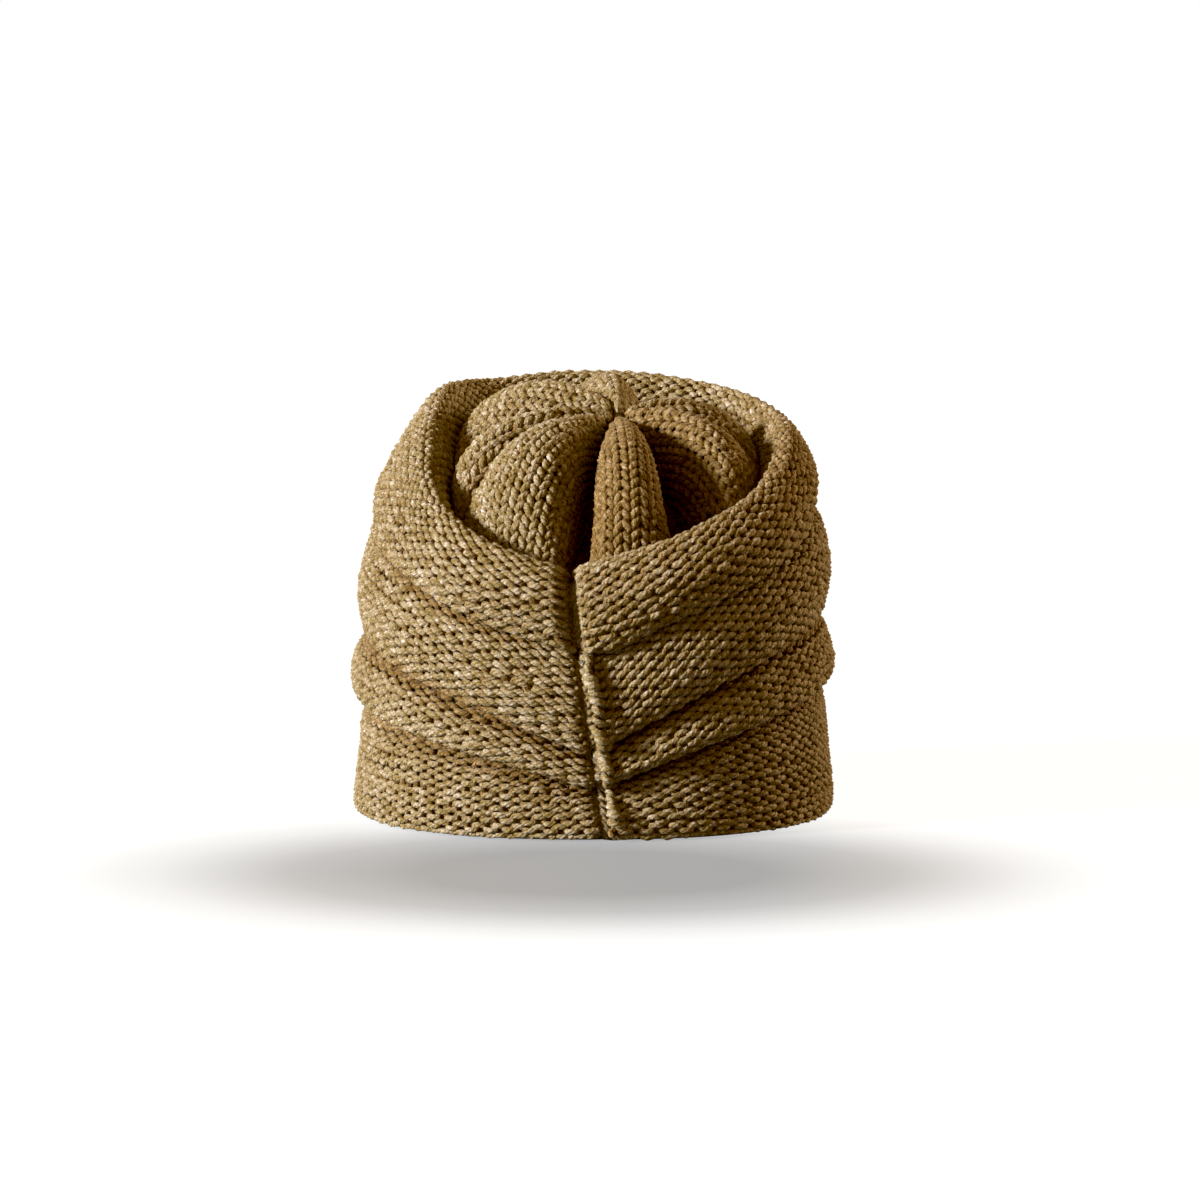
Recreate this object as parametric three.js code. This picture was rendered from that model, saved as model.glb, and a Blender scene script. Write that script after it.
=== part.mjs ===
// A slouch beanie knitted in chunky yarn: a deep tube of purl fabric, gathered at its back seam so
// that it slouches into three drooping folds, rolled over at the top, and closed by a gathered crown.
// Millimetres, +Z up, the hem rests on Z = 0, the back seam faces -Y and the wearer's front faces +Y.
import * as THREE from "three";

// ---- Driving dimensions (millimetres and degrees) ----

const KNIT = 5; // thickness of the knitted fabric
const DEPTH_TO_WIDTH = 1.05; // front-to-back size over left-to-right size
const PLAN_POWER = 2.35; // superellipse power of the plan outline, where 2 is an ellipse
const GAP = 0.55; // clearance between the crown's edge and the flap that holds it

// Heights of the lines that run round the hat, at the seam, the two sides and the front.
// vee is 1 where a line leaves the seam at an angle and 0 where it leaves it level.
const LINES = {
  low_crease: { vee: 1, seam: 17, left: 41, right: 50, front: 50 },
  middle_crease: { vee: 1, seam: 30.5, left: 67, right: 76, front: 84 },
  top_crease: { vee: 0.45, seam: 70, left: 117, right: 118, front: 128 },
  rim: { vee: 0.35, seam: 101, left: 149, right: 148, front: 165.5 },
};
const RIM_CORNER = { at: -123, half_width: 18, rise: 5.5 }; // the rim's highest corner, front left
const ROLL_SAG = { at: 9, half_width: 7, drop: 3.5 }; // the roll droops just right of the seam

// Half widths of the hat where the knit is fullest, and round the top.
const HALF_WIDTHS = {
  hem: { seam: 92, left: 92, right: 92.2, front: 92 },
  flare: { seam: 93.6, left: 93.3, right: 93.8, front: 93.5 },
  band: { seam: 91.3, left: 90.8, right: 91.5, front: 92 },
  low_fold: { seam: 93, left: 94.2, right: 94, front: 93.5 },
  middle_fold: { seam: 94, left: 91.2, right: 92.4, front: 93 },
  roll: { seam: 94.5, left: 84.6, right: 87.2, front: 89 },
  shoulder: { seam: 90, left: 74.5, right: 83, front: 83 },
  crest: { seam: 81, left: 64.5, right: 75, front: 74.5 },
  inner_lip: { seam: 73, left: 57.5, right: 68.5, front: 67 },
  gutter: { seam: 69, left: 54.5, right: 65.5, front: 64 },
};

// How each crease cuts in: depth of its root, how far the fold below it leans in, how far the fold
// above pulls in at its lower lip, and softness, from 0 for an overhanging lip to 1 for a wave.
const CREASES = {
  low_crease: {
    depth: { seam: 6, left: 2.8, right: 5.5, front: 2.5 },
    lean: { seam: 2, left: 0.8, right: 2, front: 0.8 },
    lip: { seam: 1.8, left: 1.5, right: 1.5, front: 1.5 },
    softness: { seam: 0.3, left: 1, right: 0.45, front: 1 },
  },
  middle_crease: {
    depth: { seam: 7, left: 3.4, right: 8, front: 3 },
    lean: { seam: 3, left: 1.6, right: 4.2, front: 1 },
    lip: { seam: 1.8, left: 1.8, right: 3.2, front: 1.5 },
    softness: { seam: 0.3, left: 1, right: 0.35, front: 1 },
  },
  top_crease: {
    depth: { seam: 12, left: 3, right: 11, front: 3.5 },
    lean: { seam: 3, left: 6.5, right: 5, front: 2 },
    lip: { seam: 1.8, left: 0.6, right: 2.2, front: 1.5 },
    softness: { seam: 0, left: 0.8, right: 0.2, front: 1 },
  },
};

// Where each fold is fullest, as a share of the height from its lower crease to its upper one.
const FULLEST = {
  low_fold: { seam: 0.38, left: 0.42, right: 0.38, front: 0.4 },
  middle_fold: { seam: 0.38, left: 0.45, right: 0.5, front: 0.4 },
  roll: { seam: 0.42, left: 0.24, right: 0.4, front: 0.4 },
};

// Heights of the lips beside a crease line for a sharp fold, and how much softness adds to each.
const LIPS = { root: 3, below: 2, below_soft: 3.5, above: 0.8, above_soft: 4.2 };
const BAND = { share: 0.6, over: 1 }; // the band is straight up to this share of the low crease
const SHOULDER = { share: 0.26, least: 6, most: 12 }; // how far under the rim the roll turns over

const FLAP = { lip_drop: 5.5, depth: 18, edge: 6 }; // the fabric turned in behind the rim
const FOOT = { edge_in: 1.5, width: 3.5, round: 1, out: 0.6, flare_height: 5 }; // the resting edge
const SEAM_LEAN = { at_hem: 2.2, at_rim: -6.5, over: 100 }; // the seam leans left going up

// The seam: a groove with the selvedge standing beside it, and a cleft where it splits the roll.
const SEAM = { groove: 2.6, groove_width: 1, selvedge: 1.4, selvedge_at: 2.2, selvedge_width: 1.1 };
const CLEFT = { depth: 8, half_width: 1.6, sharpness: 1.6, dip: 4, at_lip: 0.4 };
const SEAM_ALLOWANCE = { depth: 6, half_width: 5 }; // the seam's fabric standing inside the wall

// The crown: eight puffed lobes between creases that all run to the gather. Each row is a crease:
// where it leaves the rim, the direction it reaches the gather from, its depth and half width, then
// the puff of the lobe after it, that lobe's fullness (lower is boxier across) and its climb (lower
// is steeper at the rim).
const GATHER = { x: 10, y: 2, z: 150, dimple: 2.5, thickness: 6.5, heart: 62 };
const CROWN_CREASES = [
  { at: -165, ends: -148, depth: 8, gap: 0.5, puff: 11.5, fullness: 0.3, climb: 0.12 },
  { at: -86, ends: -100, depth: 9, gap: 0.5, puff: 9, fullness: 0.4, climb: 0.3 },
  { at: -51, ends: -66, depth: 16, gap: 1, puff: 6, fullness: 0.16, climb: 0.42 },
  { at: -1.5, ends: -26, depth: 24, gap: 4.5, puff: 5, fullness: 0.22, climb: 0.34 },
  { at: 42, ends: 42, depth: 26, gap: 10, puff: 9, fullness: 0.2, climb: 0.34 },
  { at: 88, ends: 84, depth: 11, gap: 2, puff: 10, fullness: 0.4, climb: 0.3 },
  { at: 124, ends: 122, depth: 12, gap: 2, puff: 4, fullness: 0.6, climb: 0.45 },
  { at: 158, ends: 158, depth: 12, gap: 2, puff: 12, fullness: 0.3, climb: 0.4 },
];
const LINING_FULLNESS = 0.6; // the inside of a lobe is at least this round across
const SWING_POWER = 1.2; // how late the creases turn from the way they leave to the way they end
// How a lobe rises from the rim, q = 0, to the gather, q = 1: steepest where the rim lies far below.
const RISE = { steep_from: 45, crease_climb: 0.75, turn: 3.5, slope: 0.1 };
const DOME = { height: 6, lean: 0.85, roundness: 0.7 };
const PUFF = { lean: 0.9, roundness: 0.45 };
const DIMPLE_FROM = 0.93;
// A crease is at its full depth from one q to the next, and shallow where it meets the gather.
const CREASE_FADE = { full_from: 0.1, full_to: 0.5, opening: 0.7, closing: 1.3, left: 0.12 };

// Facets: azimuths round the wall and the crown, rings in each span of the profile.
const WALL_SIDES = 60;
const SEAM_CROWDING = 1.6; // facets crowd towards the seam by this power
const RINGS_PER_SPAN = 2; // outside; the inside face is plain, one ring at each of its points
const LOBE_SIDES = 9;
const CROWN_RINGS = [0, 0.04, 0.1, 0.18, 0.28, 0.4, 0.54, 0.68, 0.82, 0.93];
const CROWN_LINING_RINGS = [0.82, 0.68, 0.54, 0.4, 0.28, 0.18, 0.1, 0.04];

// ---- Helpers ----

const radians = THREE.MathUtils.degToRad;
const clamp = THREE.MathUtils.clamp;
const lerp = THREE.MathUtils.lerp;
const bell = (x, middle, halfWidth, power = 2) => Math.exp(-(Math.abs((x - middle) / halfWidth) ** power));

const arch = (q, { lean, roundness }) => Math.sin(Math.PI * q ** lean) ** roundness;

// A value round the hat at the azimuth u, in degrees from the seam, positive to the right.
// Rounded by shape: 0 gives a bowl at the seam, 1 a vee, and "even" eases in and out.
function around(row, u, shape = "even") {
  const s = Math.sin(radians(u));
  const c = Math.cos(radians(u));
  const side = s >= 0 ? row.right : row.left;
  if (c >= 0) {
    const share = shape === "even" ? s * s : shape * Math.abs(s) + (1 - shape) * (1 - c);
    return lerp(row.seam, side, share);
  }
  const share = shape === "even" ? c * c : shape * c * c + (1 - shape) * -c;
  return lerp(side, row.front, share);
}

// A crease leaves its shape at the seam sooner than the folds do.
function creaseValue(row, u) {
  const s = Math.sin(radians(u));
  const side = s >= 0 ? row.right : row.left;
  const atBack = Math.cos(radians(u)) >= 0;
  return atBack ? lerp(row.seam, side, Math.abs(s) ** 0.8) : lerp(side, row.front, 1 - s * s);
}

// The lines' heights at one azimuth.
function lineHeights(u) {
  const z = {};
  for (const [name, row] of Object.entries(LINES)) z[name] = around(row, u, row.vee);
  z.top_crease -= ROLL_SAG.drop * bell(u, ROLL_SAG.at, ROLL_SAG.half_width);
  z.rim += RIM_CORNER.rise * bell(u, RIM_CORNER.at, RIM_CORNER.half_width);
  return z;
}

// ---- The wall's profile at one azimuth: lists of { z, r }, outside going up, inside going down ----

function wallProfile(u) {
  const z = lineHeights(u);
  const r = {};
  for (const [name, row] of Object.entries(HALF_WIDTHS)) r[name] = around(row, u);

  const groove = SEAM.selvedge * bell(u, SEAM.selvedge_at, SEAM.selvedge_width)
    - SEAM.groove * bell(u, 0, SEAM.groove_width);
  const cleft = bell(u, 0, CLEFT.half_width, CLEFT.sharpness);
  const cleftDepth = CLEFT.depth * cleft;
  const allowance = SEAM_ALLOWANCE.depth * bell(u, 0, SEAM_ALLOWANCE.half_width);
  const bandHeight = BAND.share * z.low_crease + BAND.over;

  const outside = [
    { z: 0, r: r.hem - FOOT.edge_in + groove },
    { z: FOOT.round, r: r.hem + FOOT.out + groove },
    { z: FOOT.flare_height, r: r.flare + groove },
    { z: bandHeight, r: r.band + groove },
  ];
  const inside = [
    { z: 0, r: r.hem - FOOT.edge_in - FOOT.width },
    { z: FOOT.flare_height, r: r.flare - KNIT - 0.5 },
    { z: bandHeight, r: r.band - KNIT },
  ];
  const creases = [
    ["low_crease", "band", "low_fold", "middle_crease"],
    ["middle_crease", "low_fold", "middle_fold", "top_crease"],
    ["top_crease", "middle_fold", "roll", "rim"],
  ];
  for (const [crease, below, above, next] of creases) {
    const { depth, lean, lip, softness } = Object.fromEntries(
      Object.entries(CREASES[crease]).map(([key, row]) => [key, creaseValue(row, u)]),
    );
    const line = z[crease];
    const root = { z: line + LIPS.root * (1 - softness), r: Math.min(r[below], r[above]) - depth };
    const full = lerp(line, z[next], around(FULLEST[above], u));
    const isRoll = above === "roll";
    const cut = isRoll ? -cleftDepth : groove;
    outside.push(
      { z: line - LIPS.below - LIPS.below_soft * softness, r: r[below] - lean + groove },
      { z: root.z, r: root.r + groove },
      { z: line + LIPS.above + LIPS.above_soft * softness, r: r[above] - lip + cut },
      { z: full, r: r[above] + cut },
    );
    inside.push({ z: root.z, r: root.r - KNIT + 1 }, { z: full, r: r[above] - KNIT - 0.5 });
  }
  const turnsOver = SHOULDER.share * (z.rim - z.top_crease);
  const shoulder = z.rim - clamp(turnsOver, SHOULDER.least, SHOULDER.most);
  const gutter = { z: z.rim - FLAP.depth, r: r.gutter };
  outside.push(
    { z: shoulder, r: r.shoulder - cleftDepth },
    { z: z.rim - CLEFT.dip * cleft, r: r.crest - cleftDepth },
    { z: z.rim - FLAP.lip_drop, r: r.inner_lip - CLEFT.at_lip * cleftDepth },
    gutter,
  );
  inside.push(
    { z: shoulder - 2, r: r.shoulder - KNIT - 0.5 },
    { z: z.rim - KNIT - 1, r: (r.crest + r.inner_lip) / 2 + 1 },
    { z: gutter.z + 4, r: gutter.r + KNIT + 0.3 },
    { z: gutter.z - FLAP.edge, r: gutter.r + KNIT },
  );
  for (const point of inside.slice(1, -3)) point.r -= allowance * (point.z / z.rim);
  inside.reverse();
  return { outside, inside, gutter };
}

// Points on the smooth (Catmull-Rom) curve through a list of { z, r }.
function smooth(points, perSpan) {
  const result = [];
  const at = (i) => points[clamp(i, 0, points.length - 1)];
  for (let i = 0; i < points.length - 1; i++) {
    for (let step = 0; step < perSpan; step++) {
      const t = step / perSpan;
      const blend = (key) => {
        const [a, b, c, d] = [at(i - 1)[key], at(i)[key], at(i + 1)[key], at(i + 2)[key]];
        return b + 0.5 * t * (c - a + t * (2 * a - 5 * b + 4 * c - d + t * (3 * b - a - 3 * c + d)));
      };
      result.push({ z: Math.max(blend("z"), 0), r: blend("r") });
    }
  }
  result.push(points[points.length - 1]);
  return result;
}

// A place from its azimuth, half width and height: the plan is a superellipse, and the seam leans.
function place(u, r, z) {
  const slope = SEAM_LEAN.at_rim - SEAM_LEAN.at_hem;
  const lean = SEAM_LEAN.at_hem + slope * clamp(z / SEAM_LEAN.over, 0, 1);
  const a = radians(u + lean * Math.cos(radians(u / 2)) ** 4);
  const [s, c] = [Math.sin(a), Math.cos(a)];
  const plan = (Math.abs(s) ** PLAN_POWER + Math.abs(c) ** PLAN_POWER) ** (-1 / PLAN_POWER);
  return new THREE.Vector3(r * plan * s, -DEPTH_TO_WIDTH * r * plan * c, z);
}

// ---- Meshes from rings of points ----

// Joins each ring to the next. Without poles the last ring joins the first, as in a bent tube;
// with poles the two ends close on a point each.
function closedMesh(rings, poles = null) {
  const sides = rings[0].length;
  const points = rings.flat();
  const faces = [];
  const index = (ring, side) => (ring % rings.length) * sides + (side % sides);
  const joins = poles ? rings.length - 1 : rings.length;
  for (let ring = 0; ring < joins; ring++) {
    for (let side = 0; side < sides; side++) {
      const [a, b] = [index(ring, side), index(ring, side + 1)];
      const [c, d] = [index(ring + 1, side + 1), index(ring + 1, side)];
      faces.push(a, b, c, a, c, d);
    }
  }
  if (poles) {
    const first = points.push(poles[0]) - 1;
    const last = points.push(poles[1]) - 1;
    for (let side = 0; side < sides; side++) {
      faces.push(first, index(0, side + 1), index(0, side));
      faces.push(last, index(rings.length - 1, side), index(rings.length - 1, side + 1));
    }
  }
  const geometry = new THREE.BufferGeometry().setFromPoints(points);
  geometry.setIndex(faces);
  geometry.computeVertexNormals();
  return geometry;
}

// Turns a list over azimuths of lists over rings into a list over rings.
const byRing = (columns) => columns[0].map((_, ring) => columns.map((column) => column[ring]));

// ---- slouch_body: the folded wall, its rolled rim and the flap turned in behind it ----

function slouchBody() {
  const azimuths = Array.from({ length: WALL_SIDES }, (_, i) => {
    const t = (2 * i) / WALL_SIDES - 1;
    return 180 * Math.sign(t) * Math.abs(t) ** SEAM_CROWDING;
  });
  const columns = azimuths.map((u) => {
    const { outside, inside, gutter } = wallProfile(u);
    const flapEnd = { z: gutter.z - FLAP.edge, r: gutter.r };
    const profile = [...smooth(outside, RINGS_PER_SPAN), flapEnd, ...inside];
    return profile.map(({ r, z }) => place(u, r, z));
  });
  return closedMesh(byRing(columns));
}

// ---- gathered_crown: puffed lobes drawn together at the gather ----

// The lobe at the azimuth u: how far across it u is, its width in degrees, the depth of the creases
// beside it, and the direction it reaches the gather from.
function lobeAt(u) {
  const first = CROWN_CREASES[0].at;
  const count = CROWN_CREASES.length;
  const turned = THREE.MathUtils.euclideanModulo(u - first, 360) + first;
  const found = CROWN_CREASES.findLastIndex((crease) => crease.at <= turned + 1e-9);
  const lobe = CROWN_CREASES[found];
  const next = CROWN_CREASES[(found + 1) % count];
  const lap = found + 1 === count ? 360 : 0;
  const width = next.at + lap - next.gap - lobe.at - lobe.gap;
  const across = clamp((turned - lobe.at - lobe.gap) / width, 0, 1);
  const share = (turned - lobe.at) / (next.at + lap - lobe.at);
  const ends = lerp(lobe.ends, next.ends + lap, share);
  return { lobe, across, width, ends, depth: lerp(lobe.depth, next.depth, across) };
}

// The crown from the flap (q = 0) to the gather (q = 1) at the azimuth u. Creases and the inset of
// the inside face both move the surface straight towards the heart of the crown, under the gather.
function crownPoint(u, q, inset = 0) {
  const { gutter } = wallProfile(u);
  const edge = place(u, gutter.r - GAP, gutter.z);
  const { lobe, across, width, ends, depth } = lobeAt(u);
  const reach = Math.hypot(edge.x - GATHER.x, edge.y - GATHER.y) * (1 - q);
  const sides = inset / (radians(width) * reach); // share of the lobe taken by each side's fabric
  const hollow = sides < 0.5 ? clamp((across - sides) / (1 - 2 * sides), 0, 1) : 0;
  const fullness = inset > 0 ? Math.max(lobe.fullness, LINING_FULLNESS) : lobe.fullness;
  const height = Math.sin(Math.PI * hollow) ** fullness;

  const straight = Math.atan2(edge.x - GATHER.x, GATHER.y - edge.y);
  const swing = THREE.MathUtils.euclideanModulo(radians(ends) - straight + Math.PI, 2 * Math.PI);
  const direction = straight + (swing - Math.PI) * q ** SWING_POWER;
  const steep = clamp((GATHER.z - edge.z) / RISE.steep_from, 0, 1);
  const climb = lerp(RISE.crease_climb, lobe.climb, height);
  const wall = lerp(clamp(1 - (1 - q) ** RISE.turn, 0, 1) ** climb, q, RISE.slope);
  const dome = DOME.height * (1 - steep) * arch(q, DOME);
  const puffed = lobe.puff * height * arch(q, PUFF);
  const dimple = GATHER.dimple * clamp((q - DIMPLE_FROM) / (1 - DIMPLE_FROM), 0, 1) ** 2;
  const point = new THREE.Vector3(
    GATHER.x + reach * Math.sin(direction),
    GATHER.y - reach * Math.cos(direction),
    lerp(edge.z, GATHER.z, lerp(q, wall, steep)) + dome + puffed - dimple,
  );

  const opening = clamp(q / CREASE_FADE.full_from, 0, 1) ** CREASE_FADE.opening;
  const closing = clamp((q - CREASE_FADE.full_to) / (1 - CREASE_FADE.full_to), 0, 1);
  const taper = opening * lerp(1, CREASE_FADE.left, closing ** CREASE_FADE.closing);
  const heart = new THREE.Vector3(GATHER.x, GATHER.y, GATHER.z - GATHER.heart);
  const inwards = heart.sub(point).normalize();
  return point.addScaledVector(inwards, depth * (1 - height) * taper + inset);
}

function gatheredCrown() {
  const azimuths = CROWN_CREASES.flatMap((crease, i) => {
    const next = CROWN_CREASES[(i + 1) % CROWN_CREASES.length];
    const end = next.at + (i + 1 === CROWN_CREASES.length ? 360 : 0);
    const [low, high] = [crease.at + crease.gap, end - next.gap];
    // Facets crowd towards the creases, and one sits in the middle of each gap.
    const lobe = Array.from({ length: LOBE_SIDES }, (_, k) => {
      return lerp(low, high, (1 - Math.cos((Math.PI * k) / (LOBE_SIDES - 1))) / 2);
    });
    return [...lobe, end];
  });
  const columns = azimuths.map((u) => {
    const { gutter } = wallProfile(u);
    const edgeZ = gutter.z - FLAP.edge;
    return [
      ...CROWN_LINING_RINGS.map((q) => crownPoint(u, q, KNIT)),
      place(u, gutter.r - GAP - KNIT + 0.5, edgeZ),
      place(u, gutter.r - GAP, edgeZ),
      ...CROWN_RINGS.map((q) => crownPoint(u, q)),
    ];
  });
  const top = new THREE.Vector3(GATHER.x, GATHER.y, GATHER.z - GATHER.dimple);
  const under = top.clone().setZ(GATHER.z - GATHER.thickness);
  return closedMesh(byRing(columns), [under, top]);
}

// ---- The beanie ----

const purlKnit = new THREE.MeshStandardMaterial({ color: 0x8f744b, roughness: 0.95, metalness: 0 });
const crownKnit = new THREE.MeshStandardMaterial({ color: 0x9a7f54, roughness: 0.95, metalness: 0 });

const beanie = new THREE.Group();
for (const [name, geometry, material] of [
  ["slouch_body", slouchBody(), purlKnit],
  ["gathered_crown", gatheredCrown(), crownKnit],
]) {
  const mesh = new THREE.Mesh(geometry, material);
  mesh.name = name;
  beanie.add(mesh);
}

export default beanie;
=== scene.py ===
"""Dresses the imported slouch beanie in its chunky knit: looped yarn for the folded purl body, the
seam edge and the gathered crown, knitted cloth behind the loops, and a plain studio around it."""

import math
from functools import lru_cache

import bmesh
import bpy
import numpy as np
from bpy.props import FloatProperty, FloatVectorProperty, IntProperty, PointerProperty
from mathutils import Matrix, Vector


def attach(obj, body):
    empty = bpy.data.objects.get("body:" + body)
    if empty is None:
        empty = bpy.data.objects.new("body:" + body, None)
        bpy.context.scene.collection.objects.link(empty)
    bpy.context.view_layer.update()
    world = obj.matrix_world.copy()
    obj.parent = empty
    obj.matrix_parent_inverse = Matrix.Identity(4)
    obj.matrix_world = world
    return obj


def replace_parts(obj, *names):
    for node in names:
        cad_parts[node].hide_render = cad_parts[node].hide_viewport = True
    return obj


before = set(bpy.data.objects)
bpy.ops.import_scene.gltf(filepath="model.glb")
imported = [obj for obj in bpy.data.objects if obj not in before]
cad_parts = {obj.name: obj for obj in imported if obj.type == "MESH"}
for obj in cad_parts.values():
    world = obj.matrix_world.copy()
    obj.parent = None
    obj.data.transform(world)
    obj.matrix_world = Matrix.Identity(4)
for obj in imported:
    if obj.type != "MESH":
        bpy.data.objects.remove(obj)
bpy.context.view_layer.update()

bl_info = {
    "name": "Slouch beanie knit",
    "version": (1, 0, 0),
    "blender": (4, 5, 0),
    "location": "3D View > Sidebar > Beanie",
    "description": "Knits the loops, seam edge, gathered crown and backing of a slouch beanie",
    "category": "Object",
}

# ---- The hat's shape, in millimetres and degrees, as its solids have it ----
# Rows round the hat read: at the seam, at the left, at the right, at the front.

MM = 0.001
DEPTH_TO_WIDTH = 1.05
PLAN_POWER = 2.35
LINES = {  # how sharply the line leaves the seam, then its heights
    "low_crease": (1.0, (17, 41, 50, 50)),
    "middle_crease": (1.0, (30.5, 67, 76, 84)),
    "top_crease": (0.45, (70, 117, 118, 128)),
    "rim": (0.35, (101, 149, 148, 165.5)),
}
RIM_CORNER = dict(at=-123, half_width=18, rise=5.5)
ROLL_SAG = dict(at=9, half_width=7, drop=3.5)
HALF_WIDTHS = {
    "hem": (92, 92, 92.2, 92),
    "flare": (93.6, 93.3, 93.8, 93.5),
    "band": (91.3, 90.8, 91.5, 92),
    "low_fold": (93, 94.2, 94, 93.5),
    "middle_fold": (94, 91.2, 92.4, 93),
    "roll": (94.5, 84.6, 87.2, 89),
    "shoulder": (90, 74.5, 83, 83),
    "crest": (81, 64.5, 75, 74.5),
    "inner_lip": (73, 57.5, 68.5, 67),
    "gutter": (69, 54.5, 65.5, 64),
}
CREASE_POWER = 0.8  # how fast a crease leaves its value at the seam
CREASES = {  # depth of the root, lean of the fold below, pull of the lip above, softness
    "low_crease": ((6, 2.8, 5.5, 2.5), (2, 0.8, 2, 0.8), (1.8, 1.5, 1.5, 1.5), (0.3, 1, 0.45, 1)),
    "middle_crease": ((7, 3.4, 8, 3), (3, 1.6, 4.2, 1), (1.8, 1.8, 3.2, 1.5), (0.3, 1, 0.35, 1)),
    "top_crease": ((12, 3, 11, 3.5), (3, 6.5, 5, 2), (1.8, 0.6, 2.2, 1.5), (0, 0.8, 0.2, 1)),
}
FULLEST = {
    "low_fold": (0.38, 0.42, 0.38, 0.4),
    "middle_fold": (0.38, 0.45, 0.5, 0.4),
    "roll": (0.42, 0.24, 0.4, 0.4),
}
FOLDS = (  # crease, fold below it, fold above it, next line up
    ("low_crease", "band", "low_fold", "middle_crease"),
    ("middle_crease", "low_fold", "middle_fold", "top_crease"),
    ("top_crease", "middle_fold", "roll", "rim"),
)
HEM = dict(tuck=1.5, swell=0.6, swell_at=1, flare_at=5)
BAND_AT = dict(share=0.6, above=1)  # above a share of the low crease's height
# How far from a crease's line the fold below ends, the root lies and the lip above starts, when
# the crease is sharp, and how much more that is for a soft one.
SHARP = dict(below=2, root=3, lip=0.8)
SOFT = dict(below=3.5, lip=4.2)
SHOULDER = dict(share=0.26, least=6, most=12)  # how far it lies below the rim
FLAP = dict(lip_drop=5.5, depth=18, edge=6)
SEAM_LEAN = dict(at_hem=2.2, at_rim=-6.5, over=100, fade=4)
SEAM = dict(groove=0.9, groove_width=1, selvedge=2.3, selvedge_at=3.0, selvedge_width=1.9)
CLEFT = dict(depth=8, half_width=1.6, power=1.6, dip=4, at_root=0.3, at_lip=0.4)

# The crown's creases: where each leaves the rim, the direction it reaches the gather from, its
# depth and half width, then the puff, fullness and climb of the lobe after it.
CROWN_CREASES = (
    (-165, -148, 8, 0.5, 11.5, 0.3, 0.12),
    (-86, -100, 9, 0.5, 9, 0.4, 0.3),
    (-51, -66, 16, 1, 6, 0.16, 0.42),
    (-1.5, -26, 24, 4.5, 5, 0.22, 0.34),
    (42, 42, 26, 10, 9, 0.2, 0.34),
    (88, 84, 11, 2, 10, 0.4, 0.3),
    (124, 122, 12, 2, 4, 0.6, 0.45),
    (158, 158, 12, 2, 12, 0.3, 0.4),
)
GATHER = dict(x=10, y=2, z=150, dimple=2.5, heart=62)  # its heart lies this far under it
CROWN_GAP = 0.55  # between the crown's edge and the flap
LINING_FULLNESS = 0.6  # the least fullness of a lobe inside the crown
SWING_POWER = 1.2  # how late a crease swings to the direction it ends in
RISE = dict(steep_from=45, crease_climb=0.75, turn=3.5, slope=0.1)
DOME = dict(height=6, lean=0.85, roundness=0.7)
PUFF = dict(lean=0.9, roundness=0.45)
DIMPLE_FROM = 0.93
CREASE_FADE = dict(full_from=0.1, full_to=0.5, opening=0.7, closing=1.3, left=0.12)


def wrapped(degrees):
    """The same azimuth between -180 and 180 degrees."""
    return (np.asarray(degrees, float) + 180) % 360 - 180


def bell(x, at, half_width, power=2.0):
    """A smooth bump: e to the minus (distance over half width) to a power."""
    return np.exp(-(np.abs((x - at) / half_width) ** power))


def smoothstep(low, high, x):
    """0 below low, 1 above high, and an even curve between."""
    t = np.clip((x - low) / (high - low), 0, 1)
    return t * t * (3 - 2 * t)


def around(row, u, shape=None):
    """A row's value at azimuths u: squared sine and cosine blends of its four numbers, or with a
    shape, from 0 for a bowl at the seam to 1 for a vee."""
    seam, left, right, front = row
    s, c = np.sin(np.radians(u)), np.cos(np.radians(u))
    side = np.where(s >= 0, right, left)
    back_share, front_share = s * s, c * c
    if shape is not None:
        back_share = shape * np.abs(s) + (1 - shape) * (1 - c)
        front_share = shape * c * c + (1 - shape) * -c
    back = seam + (side - seam) * back_share
    return np.where(c >= 0, back, side + (front - side) * front_share)


def crease_value(row, u):
    """A crease's value at azimuths u: it leaves its value at the seam as the sine to a power, and
    goes from the side to the front as the squared cosine."""
    seam, left, right, front = row
    s, c = np.sin(np.radians(u)), np.cos(np.radians(u))
    side = np.where(s >= 0, right, left)
    back = seam + (side - seam) * np.abs(s) ** CREASE_POWER
    return np.where(c >= 0, back, side + (front - side) * (1 - s * s))


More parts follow.
